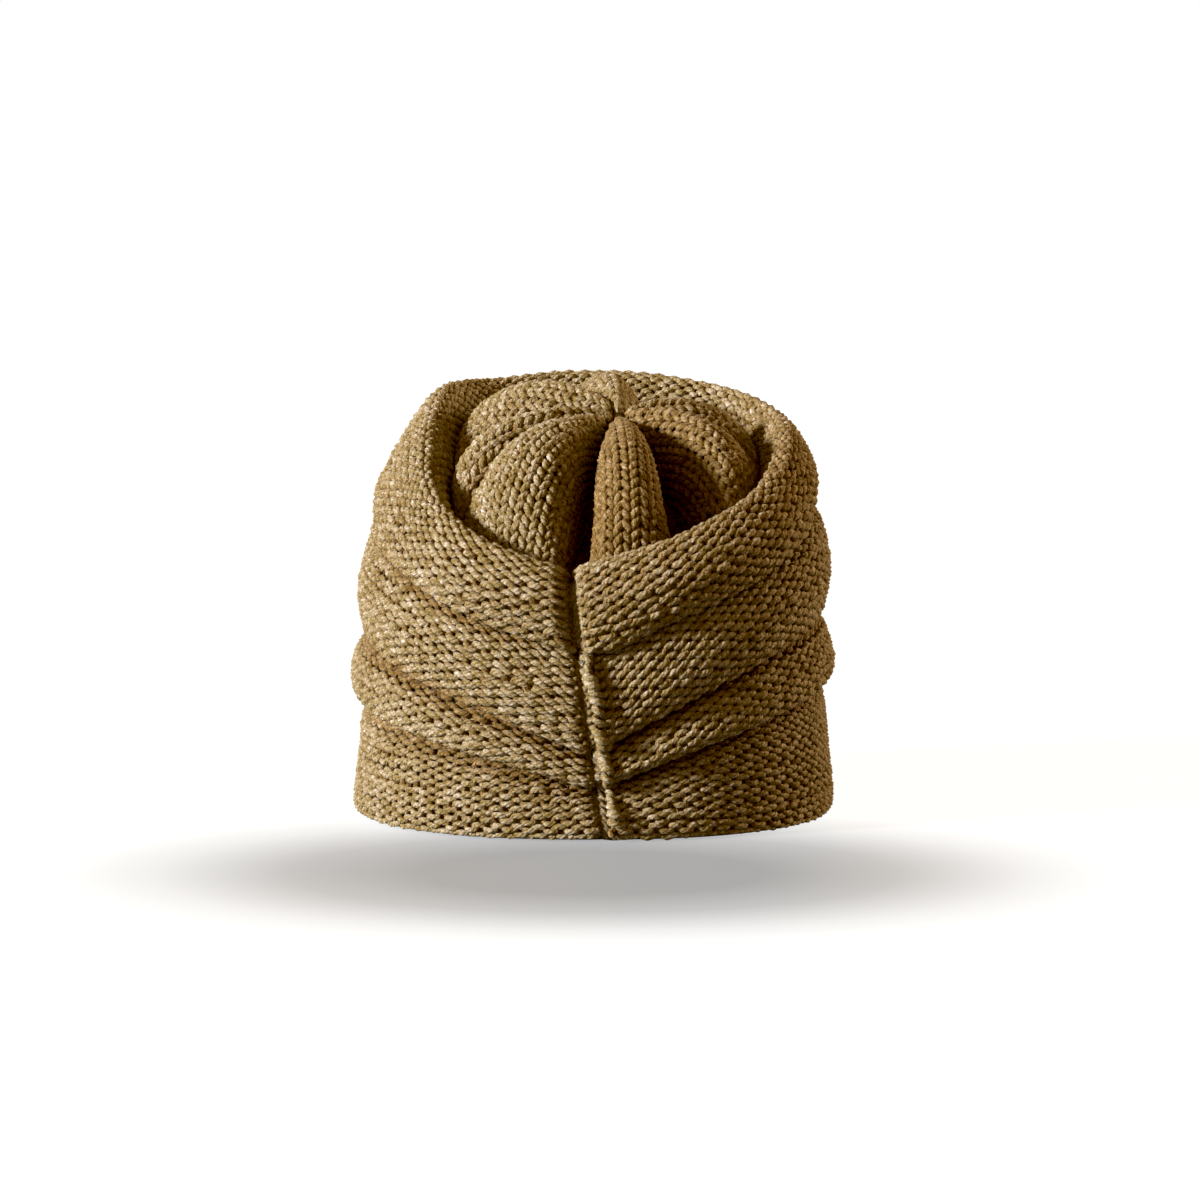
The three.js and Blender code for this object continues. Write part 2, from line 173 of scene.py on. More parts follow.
def wall_stations(u):
    """Heights and half widths of the wall's outside at azimuths u, from the hem up over the rim
    and down into the flap: two arrays of stations by azimuths. The lines and widths run round the
    hat as around() says, with bells for the rim's corner, the roll's sag, the selvedge, the groove
    of the seam and the cleft in the rim. Each crease takes its depth from the narrower of the
    folds that meet in it."""
    u = wrapped(u)
    z = {name: around(row, u, vee) for name, (vee, row) in LINES.items()}
    sag = bell(u, ROLL_SAG["at"], ROLL_SAG["half_width"])
    z["top_crease"] = z["top_crease"] - ROLL_SAG["drop"] * sag
    corner = bell(u, RIM_CORNER["at"], RIM_CORNER["half_width"])
    z["rim"] = z["rim"] + RIM_CORNER["rise"] * corner
    r = {name: around(row, u) for name, row in HALF_WIDTHS.items()}
    groove = SEAM["selvedge"] * bell(u, SEAM["selvedge_at"], SEAM["selvedge_width"])
    groove = groove - SEAM["groove"] * bell(u, 0, SEAM["groove_width"])
    cleft = bell(u, 0, CLEFT["half_width"], CLEFT["power"])
    rows = [
        (0 * u, r["hem"] - HEM["tuck"] + groove),
        (0 * u + HEM["swell_at"], r["hem"] + HEM["swell"] + groove),
        (0 * u + HEM["flare_at"], r["flare"] + groove),
        (BAND_AT["share"] * z["low_crease"] + BAND_AT["above"], r["band"] + groove),
    ]
    for crease, below, above, upper in FOLDS:
        depth, lean, lip, soft = (crease_value(row, u) for row in CREASES[crease])
        line = z[crease]
        cut = -CLEFT["depth"] * cleft if above == "roll" else groove
        lip_cut = CLEFT["at_root"] * cut if above == "roll" else groove
        root = np.minimum(r[below], r[above]) - depth
        rows += [
            (line - SHARP["below"] - SOFT["below"] * soft, r[below] - lean + groove),
            (line + SHARP["root"] * (1 - soft), root + groove),
            (line + SHARP["lip"] + SOFT["lip"] * soft, r[above] - lip + lip_cut),
            (line + (z[upper] - line) * around(FULLEST[above], u), r[above] + cut),
        ]
    drop = SHOULDER["share"] * (z["rim"] - z["top_crease"])
    shoulder = z["rim"] - np.clip(drop, SHOULDER["least"], SHOULDER["most"])
    rows += [
        (shoulder, r["shoulder"] - CLEFT["depth"] * cleft),
        (z["rim"] - CLEFT["dip"] * cleft, r["crest"] - CLEFT["depth"] * cleft),
        (z["rim"] - FLAP["lip_drop"], r["inner_lip"] - CLEFT["at_lip"] * CLEFT["depth"] * cleft),
        (z["rim"] - FLAP["depth"], r["gutter"]),
        (z["rim"] - FLAP["depth"] - 2 * FLAP["edge"], r["gutter"]),
    ]
    return np.array([row[0] for row in rows]), np.array([row[1] for row in rows])


STATIONS = {"hem": 0, "low_root": 5, "low_lip": 6, "middle_root": 9, "middle_lip": 10,
            "top_root": 13, "crest": 17, "gutter": 19}


def place(u, r, z):
    """Points from azimuth, half width and height. The plan is a superellipse, the half width times
    (sine to a power + cosine to that power) to minus 1 over the power, and is turned near the seam
    by the seam's lean at that height."""
    slope = SEAM_LEAN["at_rim"] - SEAM_LEAN["at_hem"]
    lean = SEAM_LEAN["at_hem"] + slope * np.clip(z / SEAM_LEAN["over"], 0, 1)
    a = np.radians(u + lean * np.cos(np.radians(u / 2)) ** SEAM_LEAN["fade"])
    s, c = np.sin(a), np.cos(a)
    plan = (np.abs(s) ** PLAN_POWER + np.abs(c) ** PLAN_POWER) ** (-1 / PLAN_POWER)
    return np.stack([r * plan * s, -DEPTH_TO_WIDTH * r * plan * c, z], -1)


def smooth_curve(rows, k):
    """Catmull-Rom values at positions k along the stations of rows."""
    last = len(rows) - 1
    i = np.clip(np.floor(k).astype(int), 0, last - 1)
    t = (k - i)[:, None]
    a, b, c, d = (rows[np.clip(i + step, 0, last)] for step in (-1, 0, 1, 2))
    return b + 0.5 * t * (c - a + t * (2 * a - 5 * b + 4 * c - d + t * (3 * b - a - 3 * c + d)))


STEP = 0.5  # grid spacing of a skin, in millimetres and in degrees
FINE = 24  # how many points the wall's curve has between two stations, before it is resampled
ROWS_APART = 10.0  # in the longest row's length
SKIN_BLUR, LOBE_BLUR = 3, 2  # reach of the blur that evens out the normals, in grid cells


def box_blur(values, reach, axis, circular):
    """The mean over a window of 2 reach + 1 cells along one axis."""
    pad = [(0, 0)] * values.ndim
    pad[axis] = (reach, reach)
    padded = np.pad(values, pad, mode="wrap" if circular else "edge")
    total = np.cumsum(padded, axis=axis)
    zero = np.zeros_like(np.take(total, [0], axis=axis))
    total = np.concatenate([zero, total], axis=axis)
    n = values.shape[axis]
    high = np.take(total, np.arange(2 * reach + 1, 2 * reach + 1 + n), axis=axis)
    return (high - np.take(total, np.arange(n), axis=axis)) / (2 * reach + 1)


def unit(vectors):
    """Vectors scaled to length 1."""
    return vectors / np.maximum(np.linalg.norm(vectors, axis=-1, keepdims=True), 1e-9)


def running_length(points, axis):
    """The length along an axis of a grid of points, up to each of them."""
    span = np.linalg.norm(np.diff(points, axis=axis), axis=-1)
    start = np.zeros_like(np.take(span, [0], axis=axis))
    return np.concatenate([start, np.cumsum(span, axis=axis)], axis=axis)


def read_along(wanted, known, values):
    """Each row of values read at wanted places, where known holds the places along that row. It
    is one linear interpolation, in which the rows follow on far from one another."""
    shift = np.arange(len(known))[:, None] * ROWS_APART * np.abs(known).max()
    asked, given = (wanted + shift).ravel(), (known + shift).ravel()
    out = [np.interp(asked, given, values[..., axis].ravel()) for axis in range(values.shape[-1])]
    return np.stack(out, -1).reshape(*wanted.shape, -1)


class Skin:
    """A surface resampled onto an even grid, read back by bilinear interpolation. Rows are
    millimetres along it and columns are steps across it."""

    def __init__(self, points, row_step, column_start, column_step, circular, blur):
        self.points, self.circular = points, circular
        self.row_step, self.column_start, self.column_step = row_step, column_start, column_step
        if circular:
            across = np.roll(points, -1, 1) - np.roll(points, 1, 1)
        else:
            across = np.gradient(points, axis=1)
        normals = unit(np.cross(across, np.gradient(points, axis=0)))
        for axis in (0, 1):
            normals = box_blur(normals, blur, axis, circular and axis == 1)
        self.normals = unit(normals)

    def read(self, column, row):
        """Points and normals at places given as column and row values of any one shape."""
        point, normal = self.sample((self.points, self.normals), column, row)
        return point, unit(normal)

    def sample(self, grids, column, row):
        """Each grid of values read at such places."""
        rows, columns = self.points.shape[:2]
        i = np.clip(row / self.row_step, 0, rows - 1.001)
        j = (column - self.column_start) / self.column_step
        j = j % columns if self.circular else np.clip(j, 0, columns - 1.001)
        i0, j0 = np.floor(i).astype(int), np.floor(j).astype(int)
        fi, fj = (i - i0)[..., None], (j - j0)[..., None]
        j0 = j0 % columns
        j1 = (j0 + 1) % columns
        out = []
        for grid in grids:
            low = grid[i0, j0] * (1 - fj) + grid[i0, j1] * fj
            high = grid[i0 + 1, j0] * (1 - fj) + grid[i0 + 1, j1] * fj
            out.append(low * (1 - fi) + high * fi)
        return out


def evened(points, step):
    """Each column of points resampled every step of its own length, and the length up to each of
    the original points."""
    length = running_length(points, 0)
    wanted = np.arange(0, length[-1].max() + step, step)[:, None]
    wanted = np.minimum(wanted, length[-1][None])
    return read_along(wanted.T, length.T, points.transpose(1, 0, 2)).transpose(1, 0, 2), length


@lru_cache
def wall_skin():
    """The wall's outside as a skin over azimuth and length up from the hem, and the lengths at
    which each named station lies."""
    u = np.arange(-180, 180, STEP)
    z, r = wall_stations(u)
    k = np.linspace(0, len(z) - 1, (len(z) - 1) * FINE + 1)
    points = place(u[None], smooth_curve(r, k), np.maximum(smooth_curve(z, k), 0))
    even, length = evened(points, STEP)
    skin = Skin(even, STEP, -180, STEP, True, SKIN_BLUR)
    marks = {name: length[i * FINE] for name, i in STATIONS.items()}

    def mark(name, at):
        """The length up from the hem at which a station lies at these azimuths."""
        cell = (wrapped(at) + 180) / STEP
        whole = np.floor(cell).astype(int)
        share = cell - whole
        row = marks[name]
        return row[whole % len(row)] * (1 - share) + row[(whole + 1) % len(row)] * share

    return skin, mark


# ---- Knitting ----

SIDES_ROUND_YARN = 5
SAMPLES_PER_STITCH = 12
SAME_POINT = 1e-7  # metres
PATTERN_SHIFT = dict(piece=400.0, strand=37.0)  # so that no two strands have the same streaks


def add_piece(name, mesh, material):
    """A mesh as a piece of the scene, smooth and in its material."""
    mesh.update()
    mesh.shade_smooth()
    mesh.materials.append(material)
    piece = bpy.data.objects.new(name, mesh)
    bpy.context.collection.objects.link(piece)
    return piece


def quad_mesh(name, points, faces, corners):
    """A mesh in metres of four-sided faces over points in millimetres, with the places of the
    faces' corners along and round the yarn, or across and up the cloth, as its map "yarn"."""
    mesh = bpy.data.meshes.new(name)
    mesh.vertices.add(len(points))
    mesh.vertices.foreach_set("co", (points * MM).astype(np.float32).ravel())
    mesh.loops.add(faces.size)
    mesh.loops.foreach_set("vertex_index", faces.ravel().astype(np.int32))
    mesh.polygons.add(len(faces))
    mesh.polygons.foreach_set("loop_start", np.arange(0, faces.size, 4, dtype=np.int32))
    mesh.uv_layers.new(name="yarn").data.foreach_set("uv", corners.astype(np.float32).ravel())
    return mesh


def set_painted_shade(mesh, values):
    """How lit the yarn's colour is painted at each point: 1 where it stands proud, less where shade
    is painted in.
    """
    proud = mesh.attributes.new("proud", "FLOAT", "POINT")
    proud.data.foreach_set("value", values.astype(np.float32).ravel())


def make_rings_points(mesh):
    """Makes one point of each ring of no radius, so that a strand ends in a clean tip."""
    form = bmesh.new()
    form.from_mesh(mesh)
    bmesh.ops.remove_doubles(form, verts=form.verts, dist=SAME_POINT)
    form.to_mesh(mesh)
    form.free()


def yarn_mesh(name, centre, normal, radius, proud, material, seed):
    """Yarn as tubes, one for each row of centre. At each sample the points lie at the centre plus
    the radius times (cosine of the turn outwards + sine of the turn sideways), where sideways is
    across both the yarn and the fabric's normal. Rings of no radius close the ends, and stretches
    of them are left out."""
    forward = unit(np.gradient(centre, axis=1))
    sideways = unit(np.cross(forward, normal))
    outward = np.cross(sideways, forward)
    turn = 2 * np.pi * np.arange(SIDES_ROUND_YARN) / SIDES_ROUND_YARN
    ring = np.cos(turn)[:, None] * outward[:, :, None]
    ring = ring + np.sin(turn)[:, None] * sideways[:, :, None]
    points = centre[:, :, None] + radius[..., None, None] * ring
    strands, samples, sides = points.shape[:3]
    index = np.arange(points[..., 0].size).reshape(strands, samples, sides)
    near, far = index[:, :-1], index[:, 1:]
    faces = np.stack([near, np.roll(near, -1, 2), np.roll(far, -1, 2), far], -1)
    along = running_length(centre, 1) + PATTERN_SHIFT["piece"] * seed
    along = along + PATTERN_SHIFT["strand"] * np.arange(strands)[:, None]
    along = np.stack([along[:, :-1], along[:, :-1], along[:, 1:], along[:, 1:]], -1)[:, :, None]
    round_it = np.arange(sides)[:, None] + np.array([0, 1, 1, 0])
    corners = np.stack(np.broadcast_arrays(along, round_it / sides), -1)
    kept = np.broadcast_to(((radius[:, :-1] > 0) | (radius[:, 1:] > 0))[..., None], faces.shape[:3])
    used, kept_faces = np.unique(faces[kept], return_inverse=True)
    mesh = quad_mesh(name, points.reshape(-1, 3)[used], kept_faces.reshape(-1, 4), corners[kept])
    set_painted_shade(mesh, np.broadcast_to(proud[..., None], index.shape).ravel()[used])
    mesh.validate()  # this works out the mesh's edges, which its points' merging needs
    make_rings_points(mesh)
    return add_piece(name, mesh, material)


def loops(count, first, samples):
    """Angles along a row of stitches: one turn of the angle is one stitch."""
    return 2 * np.pi * (first + np.arange(count * samples + 1) / samples)


def wobble(shape, reach, seed):
    """Smooth random numbers of about unit size along the last axis."""
    noise = np.random.default_rng(seed).normal(size=shape)
    noise = box_blur(box_blur(noise, reach, 1, True), reach, 1, True)
    return noise / max(noise.std(), 1e-9)


# Each strip of the body: where it starts and stops, the line its courses run along, the height of
# a course, its first course counted in courses from that line, how many there are, and the azimuth
# right of the seam at which they start.
STRIPS = (
    ("purl_band", "hem", "low_root", "hem", 3.3, 0.45, 17, 3.2),
    ("purl_low_fold", "low_root", "middle_root", "low_lip", 3.6, -1.0, 10, 3.2),
    ("purl_middle_fold", "middle_root", "top_root", "middle_lip", 3.65, -1.0, 16, 3.2),
    ("purl_roll", "top_root", "crest", "crest", 4.0, -12.5, 14, 0.7),
    ("purl_flap", "crest", "gutter", "crest", 4.0, 1.5, 8, 0.7),
)
STRIP_INSET = 0.5  # how far inside its lines a strip's courses keep
CREST_OVERLAP = 2  # how many courses roll and flap both have at the crest
CAST_ON_SWING = 0.45  # of the first course, at the hem, in courses
TIP = dict(up=(0, 11), reach=14, start=3.2, end=2.2)  # at the foot of the roll, over the seam
TUCKED = dict(depth=0.8, over=0.4, closed_over=0.02)  # how the courses turn in at the seam
YARN_PROUD = 0.5  # how far the yarn stands out of the skin
LOOP_FLATNESS = 0.1
PURL_THINNING, PLAIN_THINNING = 0.1, 0.2  # how much thinner the yarn is where it lies behind
LEGS_PAINTED_SHADE, HEADS_PAINTED_LIGHT = 0.8, 0.25  # painted shade on yarn lying behind: how much purl legs darken, what plain heads keep
FOLD_PAINTED_SHADE = dict(darkest=0.85, full_at=9.0, reach=8.0)  # painted shade on yarn near the root of a fold
SIDE_PAINTED_SHADE = dict(at=66, half_width=52, all=0.14, top=0.14)  # painted shade on the right side, more on the roll and flap
OUT_OF_SIGHT = (2.0, 4.0)  # yarn thins away this far past the end of its strip
SLOPE_AWAY = dict(slope=0.5, deepest=3.0, darker=0.15)  # and falls behind, and gets painted shade
# How uneven the knitting is: in shares of the lean, the swing and the radius, in stitches
# sideways, in courses of height and of slow drift, and in millimetres of depth.
UNEVEN = dict(lean=0.15, swing=0.06, radius=0.06, sideways=0.035, height=0.05, drift=0.06,
              depth=0.14)
PLAIN_UNEVEN = dict(lean=0.1, radius=0.06, height=0.05, depth=0.12)
WAVES = (7, 10, 60)  # reach of the blur of its three kinds, in samples along the yarn
PURL_SEED, LOBE_SEED, NEXT_SEED = 10, 90, 7


def looped(turn, flatness):
    """The parts of a row of loops at angles turn: sideways sine(2 turn), upwards cosine(turn) made
    flatter at its ends by some cosine(3 turn), and how much of a leg it is, from 0 at the heads
    and feet of the loops to 1 half way between them."""
    upwards = (np.cos(turn) - flatness * np.cos(3 * turn)) / (1 - flatness)
    return np.sin(2 * turn), upwards, 0.5 - 0.5 * np.cos(2 * turn)


def fallen_behind(over):
    """How much deeper yarn lies that would run this far past its end: a slope, down to a limit."""
    return np.minimum(SLOPE_AWAY["slope"] * over, SLOPE_AWAY["deepest"])


def purl_strip(strip, knit, material, seed):
    """Courses of purl loops. The loops of a course run sideways and upwards over the strip as
    looped() says, and their legs lie behind their heads and feet, which stand out as bumps. What
    would leave the strip is held at its end, sinks as it would go further and thins away."""
    name, low, high, line, height, first, courses, seam_right = strip
    skin, mark = wall_skin()
    stitches = knit.stitches
    turn = loops(stitches, 0, SAMPLES_PER_STITCH)[None]
    stitch = turn / (2 * np.pi)
    course = first + np.arange(courses)[:, None]
    shape = (courses, turn.shape[1])
    uneven, lift, drift = (wobble(shape, reach, seed + kind) for kind, reach in enumerate(WAVES))
    thick = knit.yarn_radius * height
    sideways, upwards, leg = looped(turn, LOOP_FLATNESS)
    pitch = (360 - seam_right) / stitches
    lean = knit.lean * (1 + UNEVEN["lean"] * uneven)
    across = stitch + lean * sideways + UNEVEN["sideways"] * lift
    u = seam_right + pitch * np.clip(across, 0, stitches)
    swing = np.full((courses, 1), knit.swing)
    if low == "hem":
        swing[0] = CAST_ON_SWING
    rise = course + swing * (1 + UNEVEN["swing"] * lift) * upwards
    rise = rise + UNEVEN["height"] * uneven + UNEVEN["drift"] * drift
    start, stop = mark(low, u) + STRIP_INSET, mark(high, u) - STRIP_INSET
    if low == "crest":
        start = start - CREST_OVERLAP * height
    if high == "crest":
        stop = stop + CREST_OVERLAP * height
    if low == "hem":
        start = start + thick
    if high == "gutter":
        stop = stop + FLAP["edge"]
    length = mark(line, u) + height * rise
    held = np.clip(length, start, stop)
    over = np.abs(length - held)
    if high == "crest":
        near_root = 1 - smoothstep(*TIP["up"], held - start)
        near_start = 1 - smoothstep(0, TIP["reach"], u - seam_right)
        near_end = smoothstep(360 - TIP["reach"], 360, u)
        u = u + near_root * (TIP["start"] * near_start + TIP["end"] * near_end)
    point, normal = skin.read(u, held)
    from_seam = np.minimum(stitch, stitches - stitch)
    depth = YARN_PROUD - thick - knit.crossing / MM * leg
    depth = depth + UNEVEN["depth"] * lift - fallen_behind(over)
    depth = depth - TUCKED["depth"] * (1 - smoothstep(0, TUCKED["over"], from_seam))
    # painted shade: yarn near the root of a fold is darkened in colour
    shade = 1.0
    for side, away in ((low, held - start), (high, stop - held)):
        if side.endswith("_root"):
            root_depth = CREASES[side.replace("_root", "_crease")][0]
            deep = crease_value(root_depth, wrapped(u)) / FOLD_PAINTED_SHADE["full_at"]
            near = 1 - smoothstep(0, FOLD_PAINTED_SHADE["reach"], away)
            shade = shade * (1 - FOLD_PAINTED_SHADE["darkest"] * np.minimum(deep, 1) * near)
    # painted shade: the right side, more on the roll and flap, is darkened in colour
    darker = SIDE_PAINTED_SHADE["all"] + (SIDE_PAINTED_SHADE["top"] if "crest" in (low, high) else 0)
    shade = shade * (1 - darker * bell(wrapped(u), SIDE_PAINTED_SHADE["at"], SIDE_PAINTED_SHADE["half_width"]))
    radius = thick * (1 + UNEVEN["radius"] * uneven) * (1 - PURL_THINNING * leg)
    radius = radius * (1 - smoothstep(*OUT_OF_SIGHT, over))
    radius = radius * smoothstep(0, TUCKED["closed_over"], from_seam)
    radius[:, [0, -1]] = 0
    centre = point + depth[..., None] * normal
    # painted shade in colour: purl legs lying behind, and yarn past its strip's end
    proud = np.clip((1 - LEGS_PAINTED_SHADE * leg) * shade - SLOPE_AWAY["darker"] * over, 0, 1)
    return yarn_mesh(name, centre, normal, radius, proud, material, seed)


# The edge beside the seam: how proud its coil stands, how its stitches slant, where they start
# above the hem and stop below the roll, how much of that its turns leave free, and how many
# samples a turn has.
EDGE = dict(proud=0.5, slant=0.5, start=2.2, below_roll=1.5, free=2.5, samples=14)
EDGE_UNEVEN = dict(coil=0.3, across=0.7, along=0.16, depth=0.2, radius=0.16)
EDGE_WAVES, EDGE_SEED, EDGE_PATTERN = (8, 11, 17), 61, 22
EDGE_PAINTED_SHADE = (0.6, 0.5)  # painted light and shade of its coil: tone at the middle of its depth, lighter in front, darker behind
BODY_RADIUS = 92  # of the wall at the seam


def selvedge(edge, material):
    """The knobbly edge beside the seam: yarn coiled round a line up the wall, moved sideways by a
    cosine and outwards by a sine, so that its front half shows as a stack of slanting stitches."""
    skin, mark = wall_skin()
    azimuth, pitch = math.degrees(edge.azimuth), edge.pitch / MM
    thick, coil = edge.yarn_radius / MM, edge.coil / MM
    top = mark("top_root", azimuth) - EDGE["below_roll"]
    last_turn = 2 * np.pi * (top - EDGE["free"]) / pitch
    turn = np.arange(0.5 * np.pi, last_turn, 2 * np.pi / EDGE["samples"])[None]
    uneven, lift, drift = (wobble(turn.shape, reach, EDGE_SEED + reach) for reach in EDGE_WAVES)
    across = coil * (1 + EDGE_UNEVEN["coil"] * uneven) * np.cos(turn)
    across = across + EDGE_UNEVEN["across"] * drift
    climbed = turn / (2 * np.pi) + EDGE_UNEVEN["along"] * drift
    along = EDGE["start"] + pitch * climbed - EDGE["slant"] * np.cos(turn)
    point, normal = skin.read(azimuth + np.degrees(across / BODY_RADIUS), along)
    depth = EDGE["proud"] - thick + (1 + EDGE_UNEVEN["depth"] * lift) * coil * np.sin(turn)
    radius = thick * (1 + EDGE_UNEVEN["radius"] * lift)
    radius[:, [0, -1]] = 0
    centre = point + depth[..., None] * normal
    # painted shade: the coil is darker in colour where it turns behind, lighter in front
    proud = np.clip(EDGE_PAINTED_SHADE[0] + EDGE_PAINTED_SHADE[1] * np.sin(turn), 0, 1)
    return yarn_mesh("selvedge", centre, normal, radius, proud, material, EDGE_PATTERN)


# ---- The crown ----

def arch(q, shape):
    """Half a sine wave from q = 0 to 1, leaning to one side and made rounder or boxier."""
    return np.maximum(np.sin(np.pi * q ** shape["lean"]), 0) ** shape["roundness"]


def crown_point(u, q, inset=0.0):
    """The crown at azimuths u from the flap, q = 0, to the gather, q = 1, or this far inside it.
    From above, a point's distance to the gather shrinks as 1 - q, and its direction swings from
    that of the flap's edge to its crease's own as q to a power. Its height climbs to the gather's,
    near a steep part of the rim as (1 - (1 - q) to a power) to a power, with a dome and a puff
    that are arches of q added. Across a lobe the puff is half a sine wave to a power, and where
    that is low the point is pulled towards the heart of the crown, by the crease's depth."""
    z, r = wall_stations(u)
    gutter = STATIONS["gutter"]
    edge = place(wrapped(u), r[gutter] - CROWN_GAP, z[gutter])
    table = np.array(CROWN_CREASES, float)
    first = table[0, 0]
    turned = (np.asarray(u, float) - first) % 360 + first
    found = np.searchsorted(table[:, 0], turned + 1e-9, side="right") - 1
    at, ends, depth, gap, puff, fullness, climb = table[found].T
    after = (found + 1) % len(table)
    lap = np.where(after == 0, 360.0, 0.0)
    width = table[after, 0] + lap - table[after, 3] - at - gap
    across = np.clip((turned - at - gap) / width, 0, 1)
    share = (turned - at) / (table[after, 0] + lap - at)
    end = ends + (table[after, 1] + lap - ends) * share
    depth = depth + (table[after, 2] - depth) * across
    q = q[:, None]
    offset = edge[:, :2] - (GATHER["x"], GATHER["y"])
    reach = np.hypot(offset[:, 0], offset[:, 1]) * (1 - q)
    sides = np.minimum(inset / np.maximum(np.radians(width) * reach, 1e-6), 0.5)
    hollow = np.clip((across - sides) / np.maximum(1 - 2 * sides, 1e-6), 0, 1)
    hollow = np.where(sides < 0.5, hollow, 0)
    if inset > 0:
        fullness = np.maximum(fullness, LINING_FULLNESS)
    height = np.maximum(np.sin(np.pi * hollow), 0) ** fullness
    straight = np.arctan2(offset[:, 0], -offset[:, 1])
    swing = (np.radians(end) - straight + np.pi) % (2 * np.pi) - np.pi
    direction = straight + swing * q ** SWING_POWER
    steep = np.clip((GATHER["z"] - edge[:, 2]) / RISE["steep_from"], 0, 1)
    power = RISE["crease_climb"] + (climb - RISE["crease_climb"]) * height
    wall = np.clip(1 - (1 - q) ** RISE["turn"], 0, 1) ** power
    wall = wall + (q - wall) * RISE["slope"]
    dome = DOME["height"] * (1 - steep) * arch(q, DOME)
    puffed = puff * height * arch(q, PUFF)
    dimple = GATHER["dimple"] * np.clip((q - DIMPLE_FROM) / (1 - DIMPLE_FROM), 0, 1) ** 2
    rise = edge[:, 2] + (GATHER["z"] - edge[:, 2]) * (q + (wall - q) * steep)
    point = np.stack([
        GATHER["x"] + reach * np.sin(direction),
        GATHER["y"] - reach * np.cos(direction),
        rise + dome + puffed - dimple,
    ], -1)
    opening = np.clip(q / CREASE_FADE["full_from"], 0, 1) ** CREASE_FADE["opening"]
    closing = np.clip((q - CREASE_FADE["full_to"]) / (1 - CREASE_FADE["full_to"]), 0, 1)
    taper = opening * (1 + (CREASE_FADE["left"] - 1) * closing ** CREASE_FADE["closing"])
    heart = np.array([GATHER["x"], GATHER["y"], GATHER["z"] - GATHER["heart"]])
    return point + unit(heart - point) * (depth * (1 - height) * taper + inset)[..., None]


COLUMNS_STOP = 0.97  # how near the gather the columns run
MIDDLE_LOBE = 3  # the one with the middle of a column on its middle line
LOBE_GRID = dict(across=161, up=241, crowding=1.3)  # before it is resampled
CREASE_PAINTED_SHADE = dict(darkest=0.85, power=1.5, fades=0.8)  # painted shade on yarn in a crease, less at its end
LOBE_PAINTED_SHADE = (1, 1, 1, 0.66, 0.7, 0.85, 1, 1)  # painted shade on each lobe's yarn, 1 for none


def lobe_skin(number):
    """One lobe as a skin over distance across from its middle and distance up its middle line;
    the rows of that skin, the half widths of the lobe on each side at each row, and how far out
    of its creases the lobe stands, from 0 to 1, over the skin's grid."""
    at, _, _, gap, _, fullness, _ = CROWN_CREASES[number]
    after = (number + 1) % len(CROWN_CREASES)
    end = CROWN_CREASES[after][0] + (360 if after == 0 else 0)
    low, high = at + gap, end - CROWN_CREASES[after][3]
    u = np.linspace(at, end, LOBE_GRID["across"])
    q = np.linspace(0, 1, LOBE_GRID["up"]) ** LOBE_GRID["crowding"] * COLUMNS_STOP
    stands = np.sin(np.pi * np.clip((u - low) / (high - low), 0, 1)) ** fullness
    # painted shade in the creases, fading towards the gather
    stands = 1 - (1 - stands) * (1 - CREASE_PAINTED_SHADE["fades"] * q[:, None] ** 2)
    points = np.concatenate([crown_point(u, q), stands[..., None]], -1)
    middle = np.argmin(np.abs(u - (low + high) / 2))
    up = running_length(points[:, middle, :3], 0)
    rows = np.arange(0, up[-1], STEP)
    cell = np.interp(rows, up, np.arange(len(q)))
    below = np.minimum(np.floor(cell).astype(int), len(q) - 2)
    share = (cell - below)[:, None, None]
    points = points[below] * (1 - share) + points[below + 1] * share
    across = running_length(points[..., :3], 1)
    across = across - across[:, middle:middle + 1]
    widest = max(-across[:, 0].min(), across[:, -1].max())
    wanted = np.arange(-widest, widest + STEP, STEP)[None]
    even = read_along(np.clip(wanted, across[:, :1], across[:, -1:]), across, points)
    skin = Skin(even[..., :3], STEP, -widest, STEP, False, LOBE_BLUR)
    return skin, rows, -across[:, 0], across[:, -1], even[..., 3:]


def lobe_name(number):
    """The name of the piece for one lobe."""
    return "crown_lobe_%d" % (number + 1)


